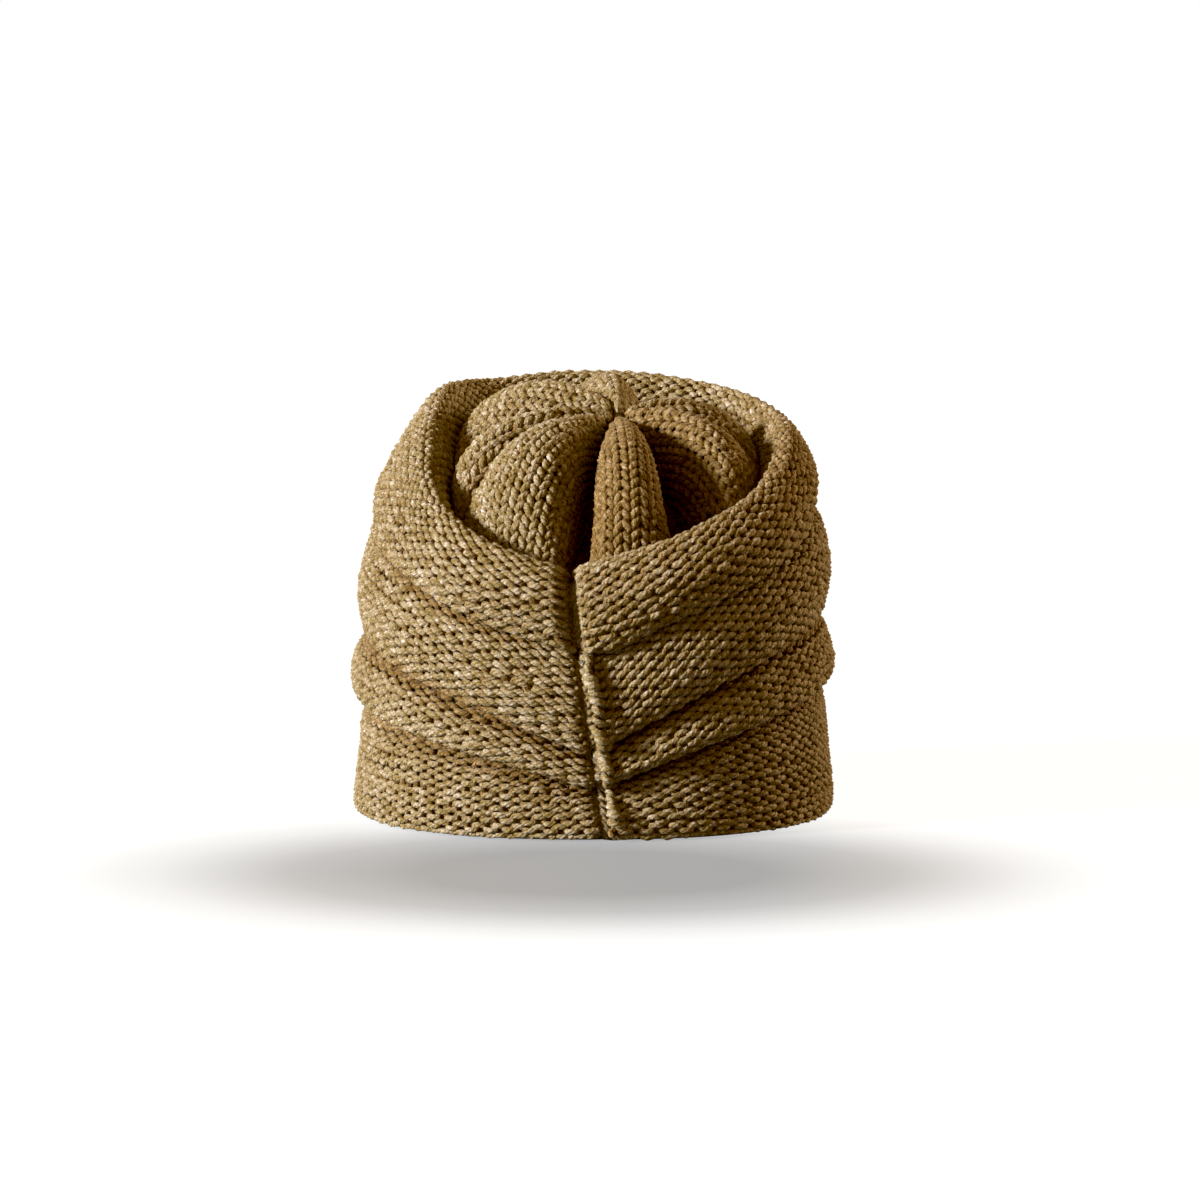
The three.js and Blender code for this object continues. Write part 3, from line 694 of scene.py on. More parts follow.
def plain_lobe(number, knit, material, seed):
    """Rows of plain loops across one lobe. Their legs stand out and their heads and feet lie
    behind, so that each column of loops reads as a column of vees."""
    skin, rows, left, right, stands = lobe_skin(number)
    width, height, thick = knit.stitch_width / MM, knit.course_height / MM, knit.yarn_radius / MM
    half = int(np.ceil(max(left.max(), right.max()) / width)) + 1
    offset = 0.5 if number == MIDDLE_LOBE else 0
    turn = loops(2 * half, offset - half, SAMPLES_PER_STITCH)[None]
    courses = int(rows[-1] / height)
    course = np.arange(courses)[:, None] + 0.5
    shape = (courses, turn.shape[1])
    uneven, lift = (wobble(shape, reach, seed + kind) for kind, reach in enumerate(WAVES[:2]))
    sideways, upwards, leg = looped(turn, 0.0)
    lean = knit.lean * (1 + PLAIN_UNEVEN["lean"] * uneven)
    across = width * (turn / (2 * np.pi) + lean * sideways)
    up = height * (course + knit.swing * upwards + PLAIN_UNEVEN["height"] * lift)
    up = np.clip(up, 0, rows[-1])
    held = np.clip(across, -np.interp(up, rows, left), np.interp(up, rows, right))
    over = np.abs(across - held)
    point, normal = skin.read(held, up)
    depth = YARN_PROUD - thick - knit.crossing / MM * (1 - leg)
    depth = depth + PLAIN_UNEVEN["depth"] * lift - fallen_behind(over)
    radius = thick * (1 + PLAIN_UNEVEN["radius"] * uneven) * (1 - PLAIN_THINNING * (1 - leg))
    radius = radius * (1 - smoothstep(*OUT_OF_SIGHT, over))
    radius[:, [0, -1]] = 0
    # painted shade in the crown's creases, from how far the lobe stands out
    out = skin.sample([stands], held, up)[0][..., 0]
    shade = 1 - CREASE_PAINTED_SHADE["darkest"] * (1 - out) ** CREASE_PAINTED_SHADE["power"]
    # painted shade in colour: heads lying behind, creases, and some whole lobes
    tone = (HEADS_PAINTED_LIGHT + (1 - HEADS_PAINTED_LIGHT) * leg) * (shade * LOBE_PAINTED_SHADE[number])
    # painted shade on yarn past the edge of its lobe
    proud = np.clip(tone - SLOPE_AWAY["darker"] * over, 0, 1)
    centre = point + depth[..., None] * normal
    return yarn_mesh(lobe_name(number), centre, normal, radius, proud, material, seed)


# ---- The cloth behind the loops ----

BODY_GRID = dict(columns=144, rows=120)
CROWN_GRID = dict(columns_of_lobe=13, rows=40, crowding=1.2)
CLOTH_STITCHES = 77
COURSE = 3.7  # height of a course of the cloth
CLEAR_OF_FLOOR = 0.15
JOIN = dict(out=5.5, down=9)  # how the crown's cloth reaches under the flap, where they join
# painted shade of the cloth's colour: none on its inner face, some on its outer face, seen in the
# gaps
INNER_PAINTED_LIGHT, OUTER_PAINTED_LIGHT = 1.0, 0.85
GATHER_SHUT = 0.93  # how near the gather the crown's cloth is drawn to its poles
CLOTH_BLUR = dict(up=2, round_it=1, times=2)  # of the normals along which the wall's cloth lies


def shell_mesh(name, outer, inner, stitches, material, poles=None):
    """A closed shell from two grids of points, rows up the cloth by columns that close on
    themselves: up the outer grid and back down the inner one, joined at both ends, or joined at
    the lower end and drawn together on two poles at the upper one."""
    rows, sides = outer.shape[:2]
    course = running_length(outer, 0).mean(1) / COURSE
    points, course = np.concatenate([inner[::-1], outer]), np.concatenate([course[::-1], course])
    # painted shade: the outer face is darker in colour than the inner one
    proud = np.repeat([INNER_PAINTED_LIGHT, OUTER_PAINTED_LIGHT], rows * sides)
    index = np.arange(len(proud)).reshape(2 * rows, sides)
    low, high, course_low, course_high = index, np.roll(index, -1, 0), course, np.roll(course, -1)
    if poles is not None:
        low, high, course_low, course_high = low[:-1], high[:-1], course_low[:-1], course_high[:-1]
    faces = np.stack([low, np.roll(low, -1, 1), np.roll(high, -1, 1), high], -1).reshape(-1, 4)
    across = (np.arange(sides)[:, None] + np.array([0, 1, 1, 0])) * stitches / sides
    up = np.stack([course_low, course_low, course_high, course_high], -1)[:, None]
    corners = np.stack(np.broadcast_arrays(across, up), -1).reshape(-1, 4, 2)
    points = points.reshape(-1, 3)
    if poles is not None:
        pair = np.arange(0, sides, 2)
        for ring, pole, order in ((index[0], len(points), -1), (index[-1], len(points) + 1, 1)):
            edge = [ring[pair], ring[pair + 1], ring[(pair + 2) % sides]][::order]
            fan = np.stack([*edge, np.full(len(pair), pole)], -1)
            faces = np.concatenate([faces, fan])
            flat = np.full((len(pair), 4), course.max() + 1)
            turned = (pair[:, None] + [[0, 1, 2, 1]]) * stitches / sides
            corners = np.concatenate([corners, np.stack([turned, flat], -1)])
        points = np.concatenate([points, poles])
        proud = np.concatenate([proud, [INNER_PAINTED_LIGHT, OUTER_PAINTED_LIGHT]])
    mesh = quad_mesh(name, points, faces, corners)
    set_painted_shade(mesh, proud)
    mesh.validate()
    return add_piece(name, mesh, material)


def flat_size(grid):
    """The size in metres that a closed grid of cloth had when flat: its mean length round, its
    mean length up, and the longest of its lengths round."""
    girth = np.linalg.norm(np.roll(grid, -1, 1) - grid, axis=-1).sum(1) * MM
    climb = np.linalg.norm(np.diff(grid, axis=0), axis=-1).sum(0) * MM
    return float(girth.mean()), float(climb.mean()), float(girth.max())


def body_backing(behind, thickness, material):
    """The wall's skin moved in along its normals behind the loops, as a closed shell from the hem
    to the flap, and the flat size of its cloth."""
    skin, mark = wall_skin()
    u = np.linspace(-180, 180, BODY_GRID["columns"], endpoint=False)[None]
    share = np.linspace(0, 1, BODY_GRID["rows"])[:, None]
    low, high = CLEAR_OF_FLOOR, mark("gutter", u) + FLAP["edge"]
    point, normal = skin.read(u, low + (high - low) * share)
    for _ in range(CLOTH_BLUR["times"]):
        normal = box_blur(normal, CLOTH_BLUR["up"], 0, False)
        normal = box_blur(normal, CLOTH_BLUR["round_it"], 1, True)
    normal = unit(normal)
    outer, inner = point - behind * normal, point - (behind + thickness) * normal
    for grid in (outer, inner):
        grid[..., 2] = np.maximum(grid[..., 2], CLEAR_OF_FLOOR)
        grid[0, :, 2] = CLEAR_OF_FLOOR
    width, length = flat_size(outer)[:2]
    return shell_mesh("body_backing", outer, inner, CLOTH_STITCHES, material), (width, length)


def crown_backing(behind, thickness, material):
    """The crown moved in behind its loops, as a closed shell that shuts at the gather, and the
    flat size and area of its cloth. The columns of each lobe crowd towards its creases, by the
    cosine of half a turn."""
    turn = np.linspace(0, np.pi, CROWN_GRID["columns_of_lobe"])
    u = []
    for number, row in enumerate(CROWN_CREASES):
        after = CROWN_CREASES[(number + 1) % len(CROWN_CREASES)]
        low, high = row[0] + row[3], after[0] - after[3]
        high = high + (360 if number + 1 == len(CROWN_CREASES) else 0)
        u += list(low + (high - low) * (1 - np.cos(turn)) / 2)
        u.append(high + after[3])
    q = np.linspace(0, GATHER_SHUT, CROWN_GRID["rows"]) ** CROWN_GRID["crowding"]
    outer, inner = (crown_point(np.array(u), q, depth) for depth in (behind, behind + thickness))
    outward = unit((outer[:1] - (GATHER["x"], GATHER["y"], 0)) * (1, 1, 0))
    join = JOIN["out"] * outward - (0, 0, JOIN["down"])
    outer, inner = (np.concatenate([grid[:1] + join, grid[:1] + join / 2, grid])
                    for grid in (outer, inner))
    top = np.array([GATHER["x"], GATHER["y"], GATHER["z"] - GATHER["dimple"] - behind])
    poles = (top - (0, 0, thickness), top)
    width, length, widest = flat_size(outer)
    shell = shell_mesh("crown_backing", outer, inner, CLOTH_STITCHES, material, poles)
    return shell, (widest, length), width * length


# ---- Materials ----

class Graph:
    """Short ways to add nodes to a material's tree."""

    def __init__(self, material):
        material.use_nodes = True
        self.nodes, self.links = material.node_tree.nodes, material.node_tree.links
        self.shader = self.nodes["Principled BSDF"]

    def add(self, kind, values=(), links=(), **settings):
        """A node with its settings, its socket values and its incoming links."""
        node = self.nodes.new("ShaderNode" + kind)
        for name, value in settings.items():
            setattr(node, name, value)
        for name, value in dict(values).items():
            node.inputs[name].default_value = value
        for name, value in dict(links).items():
            self.links.new(value, node.inputs[name])
        return node

    def math(self, operation, *terms):
        """A math node over numbers and sockets."""
        node = self.add("Math", operation=operation)
        for socket, term in zip(node.inputs, terms):
            if isinstance(term, (int, float)):
                socket.default_value = term
            else:
                self.links.new(term, socket)
        return node.outputs[0]

    def noise(self, place_at, scale, detail):
        """The value of a noise at these places."""
        values = {"Scale": scale, "Detail": detail}
        return self.add("TexNoise", values, {"Vector": place_at}).outputs[0]

    def ramp(self, factor, stops):
        """A colour ramp with stops of position and colour."""
        node = self.add("ValToRGB", links={0: factor})
        elements = node.color_ramp.elements
        while len(elements) < len(stops):
            elements.new(0.5)
        for element, (position, colour) in zip(elements, stops):
            element.position, element.color = position, (*colour, 1)
        return node.outputs[0]

    def tinted(self, colour, factor, stops):
        """Colour times a tint that runs through stops as the factor grows."""
        tint = self.ramp(factor, stops)
        mix = self.add("Mix", {0: 1.0}, {6: colour, 7: tint},
                       data_type="RGBA", blend_type="MULTIPLY")
        return mix.outputs[2]

    def bump(self, height, strength, distance):
        """Bump on the shader from a height socket, in metres."""
        node = self.add("Bump", {"Strength": strength, "Distance": distance}, {"Height": height})
        self.links.new(node.outputs[0], self.shader.inputs["Normal"])


TONES_AT = (0.33, 0.45, 0.56, 0.71)  # where in the mix of fibres each of the yarn's tones lies
# Painted shade as stops of position and colour: by how proud the yarn stands, and between its
# plies.
PAINTED_SHADE_TINT = ((0, (0.17, 0.10, 0.028)), (0.5, (0.64, 0.48, 0.26)), (1, (1, 1, 1)))
PAINTED_SHADE_BETWEEN_PLIES = ((0, (0.86, 0.8, 0.72)), (0.5, (1, 1, 1)))
PATCHES = dict(scale=210.0, detail=2.0, share=0.28)
SPECKS = dict(scale=1250.0, detail=1.5)  # with what patches and streaks leave of the mix
WINDING = dict(along=0.5, across=1.8, detail=2.0, share=0.34)  # the streaks of the yarn
STREAKS = dict(scale=5.0, detail=3.0, share=0.4)  # and of the cloth
CLOTH_SLANT = 1.2  # how many courses a leg climbs in a stitch's width
PLIES_BUMP = dict(of_plies=0.35, strength=0.9, distance=0.0006)
CLOTH_BUMP = dict(of_fibres=0.3, strength=0.9, distance=0.0022)


def wool(name, yarn):
    """A new material with the dull, slightly fuzzy surface of wool."""
    material = bpy.data.materials.new(name)
    graph = Graph(material)
    for socket, value in (
        ("Roughness", yarn.roughness),
        ("Specular IOR Level", 0.15),
        ("Sheen Weight", yarn.fuzz),
        ("Sheen Roughness", 0.45),
        ("Sheen Tint", (1.0, 0.93, 0.82, 1)),
    ):
        graph.shader.inputs[socket].default_value = value
    return material, graph


def coloured(graph, yarn, mixed, shade):
    """Yarn colour from dark to light fibres as the mix grows, with painted shade between the plies
    or stitches, where the shade is low, and painted shade where the yarn lies behind."""
    tones = zip(TONES_AT, (yarn.dark, yarn.brown, yarn.grey, yarn.light))
    colour = graph.ramp(mixed, [(position, tuple(tone)) for position, tone in tones])
    # painted shade between the plies or the cloth's stitches
    colour = graph.tinted(colour, shade, PAINTED_SHADE_BETWEEN_PLIES)
    proud = graph.add("Attribute", attribute_name="proud").outputs["Fac"]
    # painted shade from the yarn's proud attribute
    graph.links.new(graph.tinted(colour, proud, PAINTED_SHADE_TINT), graph.shader.inputs["Base Color"])


def heather(graph, streaks, streak_share):
    """Patches of colour over the hat and specks of single fibres, mixed with fine streaks."""
    where = graph.add("TexCoord").outputs["Object"]
    patches = graph.noise(where, PATCHES["scale"], PATCHES["detail"])
    specks = graph.noise(where, SPECKS["scale"], SPECKS["detail"])
    mixed = graph.math("MULTIPLY", streaks, streak_share)
    mixed = graph.math("MULTIPLY_ADD", patches, PATCHES["share"], mixed)
    return graph.math("MULTIPLY_ADD", specks, 1 - PATCHES["share"] - streak_share, mixed)


def yarn_material(name, yarn):
    """Heathered yarn: light and dark fibres in fine streaks that wind round the strand with its
    plies, patches of colour over the hat, and painted shade where it lies behind."""
    if name in bpy.data.materials:
        return bpy.data.materials[name]
    material, graph = wool(name, yarn)
    uv = graph.add("UVMap", uv_map="yarn")
    split = graph.add("SeparateXYZ", links={0: uv.outputs[0]})
    along = split.outputs[0]
    twist = graph.math("ADD", graph.math("MULTIPLY", along, yarn.twist * MM), split.outputs[1])
    angle = graph.math("MULTIPLY", twist, 2 * math.pi)
    winding = graph.add("CombineXYZ", links={
        0: graph.math("MULTIPLY", along, WINDING["along"]),
        1: graph.math("MULTIPLY", graph.math("COSINE", angle), WINDING["across"]),
        2: graph.math("MULTIPLY", graph.math("SINE", angle), WINDING["across"]),
    })
    fibres = graph.noise(winding.outputs[0], 1.0, WINDING["detail"])
    mixed = heather(graph, fibres, WINDING["share"])
    ply_angle = graph.math("MULTIPLY", angle, yarn.plies / 2)
    plies = graph.math("ABSOLUTE", graph.math("SINE", ply_angle))
    # painted shade between the plies
    coloured(graph, yarn, mixed, plies)
    relief = graph.math("MULTIPLY_ADD", plies, PLIES_BUMP["of_plies"], mixed)
    graph.bump(relief, PLIES_BUMP["strength"], PLIES_BUMP["distance"])
    return material


def cloth_material(name, yarn):
    """The knitted cloth from behind, with its map counted in stitches across and courses up. At a
    stitches from the middle of its column, a leg of a loop stands as high as the sine of one turn
    times a. It is cut into courses by the sine of half a turn times (the height + a slant times
    a)."""
    if name in bpy.data.materials:
        return bpy.data.materials[name]
    material, graph = wool(name, yarn)
    uv = graph.add("UVMap", uv_map="yarn")
    split = graph.add("SeparateXYZ", links={0: uv.outputs[0]})
    from_middle = graph.math("SUBTRACT", graph.math("FRACT", split.outputs[0]), 0.5)
    a = graph.math("ABSOLUTE", from_middle)
    leg = graph.math("SINE", graph.math("MULTIPLY", a, 2 * math.pi))
    slant = graph.math("MULTIPLY_ADD", a, CLOTH_SLANT, split.outputs[1])
    course = graph.math("ABSOLUTE", graph.math("SINE", graph.math("MULTIPLY", slant, math.pi)))
    loop = graph.math("MULTIPLY", leg, course)
    streaks = graph.noise(uv.outputs[0], STREAKS["scale"], STREAKS["detail"])
    mixed = heather(graph, streaks, STREAKS["share"])
    # painted shade between the cloth's stitches
    coloured(graph, yarn, mixed, loop)
    relief = graph.math("MULTIPLY_ADD", mixed, CLOTH_BUMP["of_fibres"], loop)
    graph.bump(relief, CLOTH_BUMP["strength"], CLOTH_BUMP["distance"])
    return material


# ---- The studio ----

BLACK_LEVEL = (0.002, 0.004, 0.007)
LENS_SHIFT = 0.006
AIM_HEIGHT = 0.08  # metres
SENSOR_WIDTH = 36  # millimetres
KEY_FROM, KEY_SPREAD = (-0.88, -0.36, 0.31), 9
FRONT_FROM, FRONT_SPREAD = (-0.5, -0.8, 0.3), 40
RIM_FROM, RIM_SPREAD = (0.9, 0.5, 0.3), 20
FLOOR = dict(half=3, below=0.0001)  # metres
SHADOW_OVAL = {"Location": (0, 0.25, 0), "Scale": (1.15, 1.5, 0)}  # where the oval of the painted shadow lies on the floor
OVAL_TO_RAMP = 4.0  # from metres away to places on the ramp
# stops of the painted shadow, from its darkest middle out to the pale floor
SHADOW_OVAL_STOPS = (0.28, 0.5, 0.72, 0.9)
SHADOW_OVAL_FADE = ((0.46, 0.46, 0.465), (0.78, 0.78, 0.78), (0.95, 0.95, 0.95))


def sun(name, source, colour, strength, spread):
    """A sun that shines on the hat from this direction, with soft edges to its shadows."""
    light = bpy.data.lights.new(name, "SUN")
    light.color, light.energy, light.angle = colour, strength, math.radians(spread)
    lamp = bpy.data.objects.new(name, light)
    lamp.location = Vector(source)
    lamp.rotation_euler = (-Vector(source)).to_track_quat("-Z", "Y").to_euler()
    bpy.context.collection.objects.link(lamp)


def studio_world(studio):
    """A white wall behind the hat, and a warm weak light from all round on it."""
    world = bpy.data.worlds.new("studio")
    world.use_nodes = True
    nodes, links = world.node_tree.nodes, world.node_tree.links
    seen, cast = nodes["Background"], nodes.new("ShaderNodeBackground")
    seen.inputs[0].default_value, seen.inputs[1].default_value = (1, 1, 1, 1), 1.0
    cast.inputs[0].default_value = (*studio.around_colour, 1)
    cast.inputs[1].default_value = studio.around_strength
    path, mix = nodes.new("ShaderNodeLightPath"), nodes.new("ShaderNodeMixShader")
    links.new(path.outputs["Is Camera Ray"], mix.inputs[0])
    links.new(cast.outputs[0], mix.inputs[1])
    links.new(seen.outputs[0], mix.inputs[2])
    links.new(mix.outputs[0], nodes["World Output"].inputs[0])
    bpy.context.scene.world = world


def studio_floor(studio):
    """A plain pale floor, glowing for the camera, with a painted shadow in a soft oval round the
    hat.
    """
    mesh = bpy.data.meshes.new("floor")
    half, height = FLOOR["half"], -FLOOR["below"]
    corners = [(x * half, y * half, height) for x, y in ((-1, -1), (1, -1), (1, 1), (-1, 1))]
    mesh.from_pydata(corners, [], [(0, 1, 2, 3)])
    floor = bpy.data.objects.new("floor", mesh)
    paint = bpy.data.materials.new("pale_floor")
    graph = Graph(paint)
    graph.shader.inputs["Base Color"].default_value = (*studio.floor_colour, 1)
    oval = graph.add("Mapping", SHADOW_OVAL, {0: graph.add("TexCoord").outputs["Object"]})
    away = graph.add("VectorMath", links={0: oval.outputs[0]}, operation="LENGTH").outputs["Value"]
    # painted shadow: the floor's glow darkens towards the hat
    glows = zip(SHADOW_OVAL_STOPS, (tuple(studio.floor_painted_shadow), *SHADOW_OVAL_FADE))
    glow = graph.ramp(graph.math("MULTIPLY", away, OVAL_TO_RAMP), tuple(glows))
    graph.links.new(glow, graph.shader.inputs["Emission Color"])
    seen = graph.add("LightPath").outputs["Is Camera Ray"]
    graph.links.new(seen, graph.shader.inputs["Emission Strength"])
    mesh.materials.append(paint)
    bpy.context.collection.objects.link(floor)


def studio_camera(studio):
    """A camera facing the seam, a little above the floor, aimed at the middle of the hat."""
    camera = bpy.data.cameras.new("camera")
    camera.sensor_width, camera.lens, camera.shift_x = SENSOR_WIDTH, studio.lens, LENS_SHIFT
    view = bpy.data.objects.new("camera", camera)
    bpy.context.collection.objects.link(view)
    target = Vector((0, 0, AIM_HEIGHT))
    tilt = studio.camera_elevation
    view.location = target + studio.camera_distance * Vector((0, -math.cos(tilt), math.sin(tilt)))
    view.rotation_euler = (target - view.location).to_track_quat("-Z", "Y").to_euler()
    bpy.context.scene.camera = view


# ---- Settings ----

def a_length(label, what, default):
    """A length, with its default in millimetres."""
    return FloatProperty(name=label, description=what, default=default * MM, min=0, unit="LENGTH",
                         precision=5)


def a_share(label, what, default, most=1.0):
    """A plain share or strength."""
    return FloatProperty(name=label, description=what, default=default, min=0, max=most,
                         subtype="FACTOR")


def a_colour(label, what, default):
    """A colour."""
    return FloatVectorProperty(name=label, description=what, default=default, min=0, max=1, size=3,
                               subtype="COLOR")


def an_angle(label, what, default):
    """An angle, with its default in degrees."""
    return FloatProperty(name=label, description=what, default=math.radians(default),
                         subtype="ANGLE", unit="ROTATION")


class BEANIE_PG_yarn(bpy.types.PropertyGroup):
    """Colours and make of the heathered yarn."""
    dark: a_colour("Dark", "Colour of the darkest fibres", (0.07, 0.032, 0.003))
    brown: a_colour("Brown", "Colour of the fibres darker than most", (0.205, 0.142, 0.04))
    grey: a_colour("Grey", "Colour of the fibres lighter than most", (0.375, 0.315, 0.215))
    light: a_colour("Light", "Colour of the lightest fibres", (0.81, 0.75, 0.77))
    twist: FloatProperty(name="Twist", description="Turns of the plies in a metre of yarn",
                         default=160, min=0, max=1000)
    plies: IntProperty(name="Plies", description="How many plies the yarn is twisted from",
                       default=3, min=1, max=8)
    roughness: a_share("Roughness", "Roughness of the wool", 0.85)
    fuzz: a_share("Fuzz", "Sheen of the fine fibres that stand off the yarn", 0.12)


class BEANIE_PG_purl(bpy.types.PropertyGroup):
    """Sizes of the purl loops of the folded body."""
    stitches: IntProperty(name="Stitches round", description="Stitches in one course of the body",
                          default=77, min=20, max=160)
    yarn_radius: a_share("Yarn radius", "Radius of the yarn as a share of a course's height", 0.345)
    lean: a_share("Lean", "How far a loop swings sideways, in stitches", 0.1875)
    swing: a_share("Swing", "How far a loop swings up and down, in courses", 0.8, 2)
    crossing: a_length("Crossing", "How far behind its bumps a loop's legs lie", 1.6)


class BEANIE_PG_selvedge(bpy.types.PropertyGroup):
    """Sizes of the knobbly edge beside the seam."""
    azimuth: an_angle("Place", "How far round the body from its seam the edge runs", 2.5)
    yarn_radius: a_length("Yarn radius", "Radius of the edge's yarn", 1.45)
    coil: a_length("Coil radius", "Radius of the coil that the edge's yarn winds in", 1.75)
    pitch: a_length("Pitch", "Height of one turn of the coil", 3.5)


class BEANIE_PG_crown(bpy.types.PropertyGroup):
    """Sizes of the plain loops of the gathered crown."""
    stitch_width: a_length("Stitch width", "Width of one column of loops", 7.2)
    course_height: a_length("Course height", "Height of one row of loops", 4.1)
    yarn_radius: a_length("Yarn radius", "Radius of the crown's yarn", 1.5)
    lean: a_share("Lean", "How far a loop swings sideways, in stitches", 0.271)
    swing: a_share("Swing", "How far a loop swings up and down, in courses", 0.75, 2)
    crossing: a_length("Crossing", "How far behind its legs a loop's head lies", 1.36)


class BEANIE_PG_backing(bpy.types.PropertyGroup):
    """Sizes of the cloth behind the loops."""
    behind: a_length("Body depth", "How far the body's cloth lies behind its outside", 2.3)
    thickness: a_length("Thickness", "Thickness of the cloth behind the body's loops", 1.8)
    crown_behind: a_length("Crown depth", "How far the crown's cloth lies behind its outside", 2.1)
    crown_thickness: a_length("Crown thickness", "Thickness of the cloth behind the crown's loops",
                              2.1)


class BEANIE_PG_studio(bpy.types.PropertyGroup):
    """Light, floor and camera."""
    key: FloatProperty(name="Key light", description="Strength of the light from the left",
                       default=7.1, min=0, max=50)
    front: FloatProperty(name="Front light", description="Strength of the light from the front",
                         default=0.25, min=0, max=50)
    front_colour: a_colour("Front colour", "Colour of the light from the front", (1.0, 0.8, 0.5))
    rim: FloatProperty(name="Rim light", description="Strength of the warm light from behind",
                       default=3.0, min=0, max=50)
    rim_colour: a_colour("Rim colour", "Colour of the light from behind", (1.0, 0.78, 0.5))
    around_strength: FloatProperty(name="Fill light", description="Strength of the light all round",
                                   default=0.31, min=0, max=10)
    around_colour: a_colour("Fill colour", "Colour of the light all round", (1.0, 0.58, 0.13))
    floor_colour: a_colour("Floor", "Colour of the floor as it throws light back",
                           (0.085, 0.098, 0.115))
    # the darkest colour of the painted shadow on the floor near the hat
    floor_painted_shadow: a_colour("Floor round the hat", "Brightness of the floor near the hat",
                         (0.30, 0.30, 0.305))
    camera_distance: a_length("Camera distance", "From the camera to the hat", 1800)
    camera_elevation: an_angle("Camera height", "How steeply the camera looks down", 6)
    lens: FloatProperty(name="Lens", description="Focal length", default=138.225, min=10, max=500,
                        subtype="DISTANCE_CAMERA")


class BEANIE_PG_settings(bpy.types.PropertyGroup):
    """All the settings of the hat."""
    yarn: PointerProperty(type=BEANIE_PG_yarn)
    purl: PointerProperty(type=BEANIE_PG_purl)
    selvedge: PointerProperty(type=BEANIE_PG_selvedge)
    crown: PointerProperty(type=BEANIE_PG_crown)
    backing: PointerProperty(type=BEANIE_PG_backing)
    studio: PointerProperty(type=BEANIE_PG_studio)


# ---- Operators ----

def fit(piece):
    """A finished piece rides on the hat's one body."""
    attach(piece, "root")
    return piece


class BEANIE_OT_purl_body(bpy.types.Operator):
    """Knit the purl loops of the folded body, one piece for each strip between the folds"""
    bl_idname = "beanie.purl_body"
    bl_label = "Purl body"

    def execute(self, context):
        settings = context.scene.beanie
        yarn = yarn_material("purl_yarn", settings.yarn)
        for number, strip in enumerate(STRIPS):
            seed = PURL_SEED + NEXT_SEED * number
            fit(purl_strip(strip, settings.purl, yarn, seed))
        return {"FINISHED"}


class BEANIE_OT_selvedge(bpy.types.Operator):
    """Wind the knobbly edge beside the seam of the body"""
    bl_idname = "beanie.selvedge"
    bl_label = "Seam edge"

    def execute(self, context):
        settings = context.scene.beanie
        fit(selvedge(settings.selvedge, yarn_material("purl_yarn", settings.yarn)))
        return {"FINISHED"}


class BEANIE_OT_crown_lobes(bpy.types.Operator):
    """Knit the plain loops of the lobes between the crown's creases"""
    bl_idname = "beanie.crown_lobes"
    bl_label = "Crown lobes"

    def execute(self, context):
        settings = context.scene.beanie
        yarn = yarn_material("crown_yarn", settings.yarn)
        for number in range(len(CROWN_CREASES)):
            seed = LOBE_SEED + NEXT_SEED * number
            fit(plain_lobe(number, settings.crown, yarn, seed))
        return {"FINISHED"}


class BEANIE_OT_body_backing(bpy.types.Operator):
    """Lay the cloth behind the body's loops, in place of the body's solid"""
    bl_idname = "beanie.body_backing"
    bl_label = "Body backing"

    def execute(self, context):
        settings = context.scene.beanie
        cloth, back = cloth_material("body_cloth", settings.yarn), settings.backing
        piece, flat = body_backing(back.behind / MM, back.thickness / MM, cloth)
        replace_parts(fit(piece), "slouch_body")
        return {"FINISHED"}


class BEANIE_OT_crown_backing(bpy.types.Operator):
    """Lay the cloth behind the crown's loops, in place of the crown's solid"""
    bl_idname = "beanie.crown_backing"
    bl_label = "Crown backing"

    def execute(self, context):
        settings = context.scene.beanie
        cloth, back = cloth_material("crown_cloth", settings.yarn), settings.backing
        behind, thickness = back.crown_behind / MM, back.crown_thickness / MM
        piece, flat, area = crown_backing(behind, thickness, cloth)
        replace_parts(fit(piece), "gathered_crown")
        return {"FINISHED"}


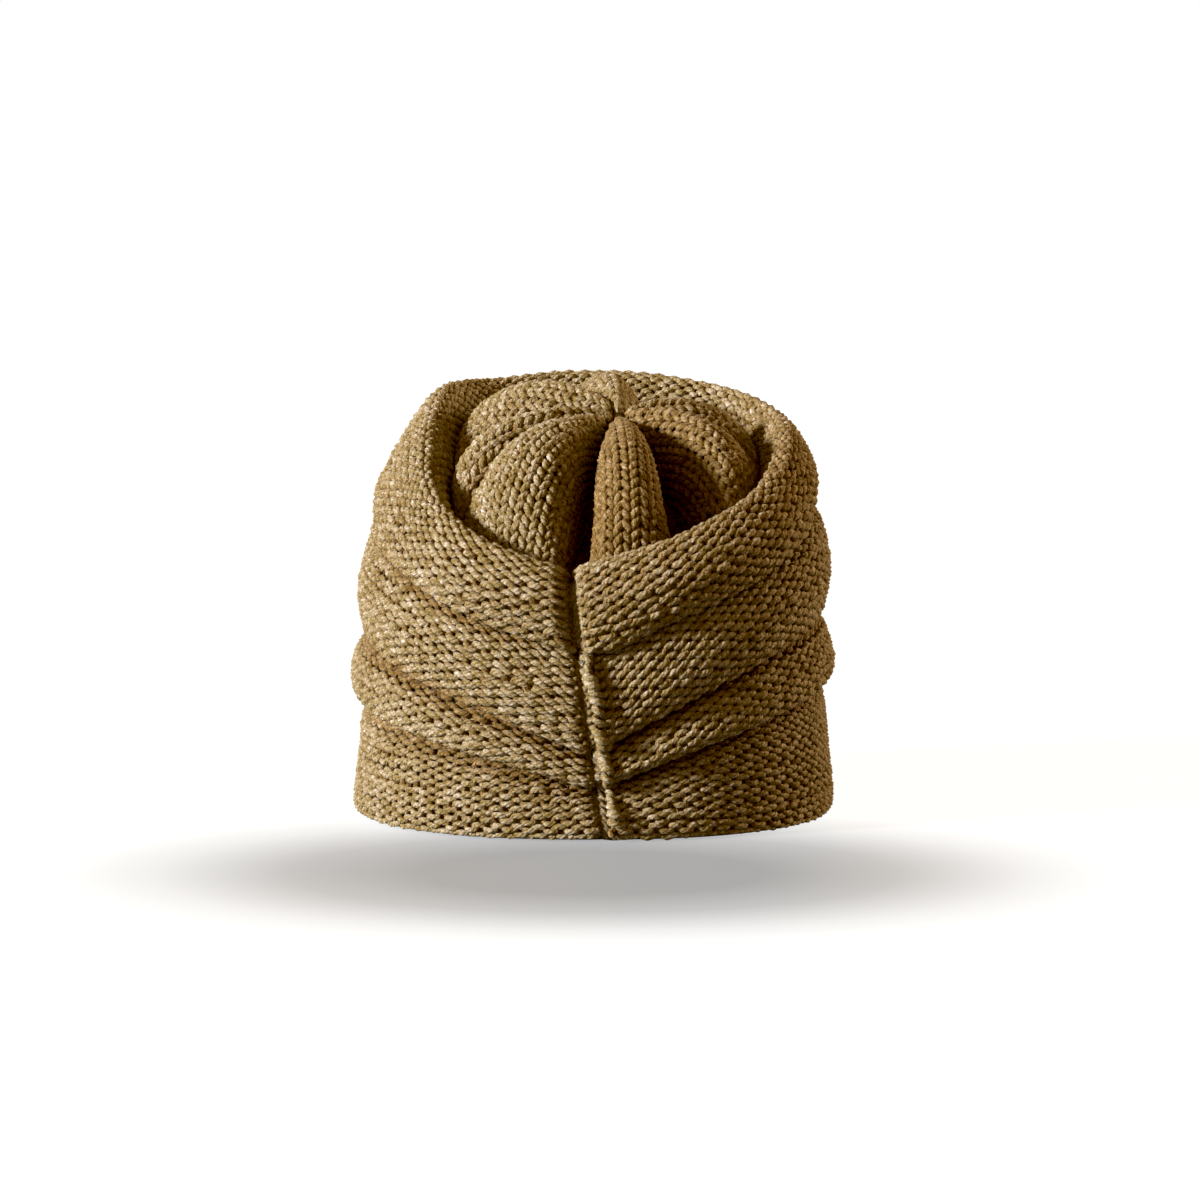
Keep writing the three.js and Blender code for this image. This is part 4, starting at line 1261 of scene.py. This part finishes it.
class BEANIE_OT_studio(bpy.types.Operator):
    """Set up the floor, the lights and the camera"""
    bl_idname = "beanie.studio"
    bl_label = "Studio"

    def execute(self, context):
        studio = context.scene.beanie.studio
        view = context.scene.view_settings
        view.view_transform, view.use_curve_mapping = "Standard", True
        view.curve_mapping.black_level = BLACK_LEVEL
        view.curve_mapping.update()
        studio_world(studio)
        studio_camera(studio)
        sun("key", KEY_FROM, (1, 1, 1), studio.key, KEY_SPREAD)
        sun("front", FRONT_FROM, studio.front_colour, studio.front, FRONT_SPREAD)
        sun("rim", RIM_FROM, studio.rim_colour, studio.rim, RIM_SPREAD)
        studio_floor(studio)
        return {"FINISHED"}


class BEANIE_PT_panel(bpy.types.Panel):
    """Lists the settings of the hat and the steps that make it"""
    bl_idname = "BEANIE_PT_panel"
    bl_label = "Slouch beanie"
    bl_space_type = "VIEW_3D"
    bl_region_type = "UI"
    bl_category = "Beanie"

    def draw(self, context):
        settings = context.scene.beanie
        for label, group, steps in PANEL_ROWS:
            box = self.layout.box()
            box.label(text=label)
            chosen = getattr(settings, group)
            for setting in chosen.__annotations__:
                box.prop(chosen, setting)
            for step in steps:
                box.operator(step.bl_idname)


PANEL_ROWS = (
    ("Yarn", "yarn", ()),
    ("Body", "purl", (BEANIE_OT_purl_body,)),
    ("Seam edge", "selvedge", (BEANIE_OT_selvedge,)),
    ("Crown", "crown", (BEANIE_OT_crown_lobes,)),
    ("Backing", "backing", (BEANIE_OT_body_backing, BEANIE_OT_crown_backing)),
    ("Studio", "studio", (BEANIE_OT_studio,)),
)
CLASSES = (
    BEANIE_PG_yarn, BEANIE_PG_purl, BEANIE_PG_selvedge, BEANIE_PG_crown, BEANIE_PG_backing,
    BEANIE_PG_studio, BEANIE_PG_settings, BEANIE_OT_purl_body, BEANIE_OT_selvedge,
    BEANIE_OT_crown_lobes, BEANIE_OT_body_backing, BEANIE_OT_crown_backing, BEANIE_OT_studio,
    BEANIE_PT_panel,
)


def register():
    """Adds the classes and the scene's settings."""
    for made in CLASSES:
        bpy.utils.register_class(made)
    bpy.types.Scene.beanie = PointerProperty(type=BEANIE_PG_settings)


def unregister():
    """Takes them away again."""
    del bpy.types.Scene.beanie
    for made in reversed(CLASSES):
        bpy.utils.unregister_class(made)


def main():
    """Makes every piece and the studio."""
    register()
    bpy.ops.beanie.purl_body()
    bpy.ops.beanie.selvedge()
    bpy.ops.beanie.crown_lobes()
    bpy.ops.beanie.body_backing()
    bpy.ops.beanie.crown_backing()
    bpy.ops.beanie.studio()


if __name__ == "__main__":
    main()
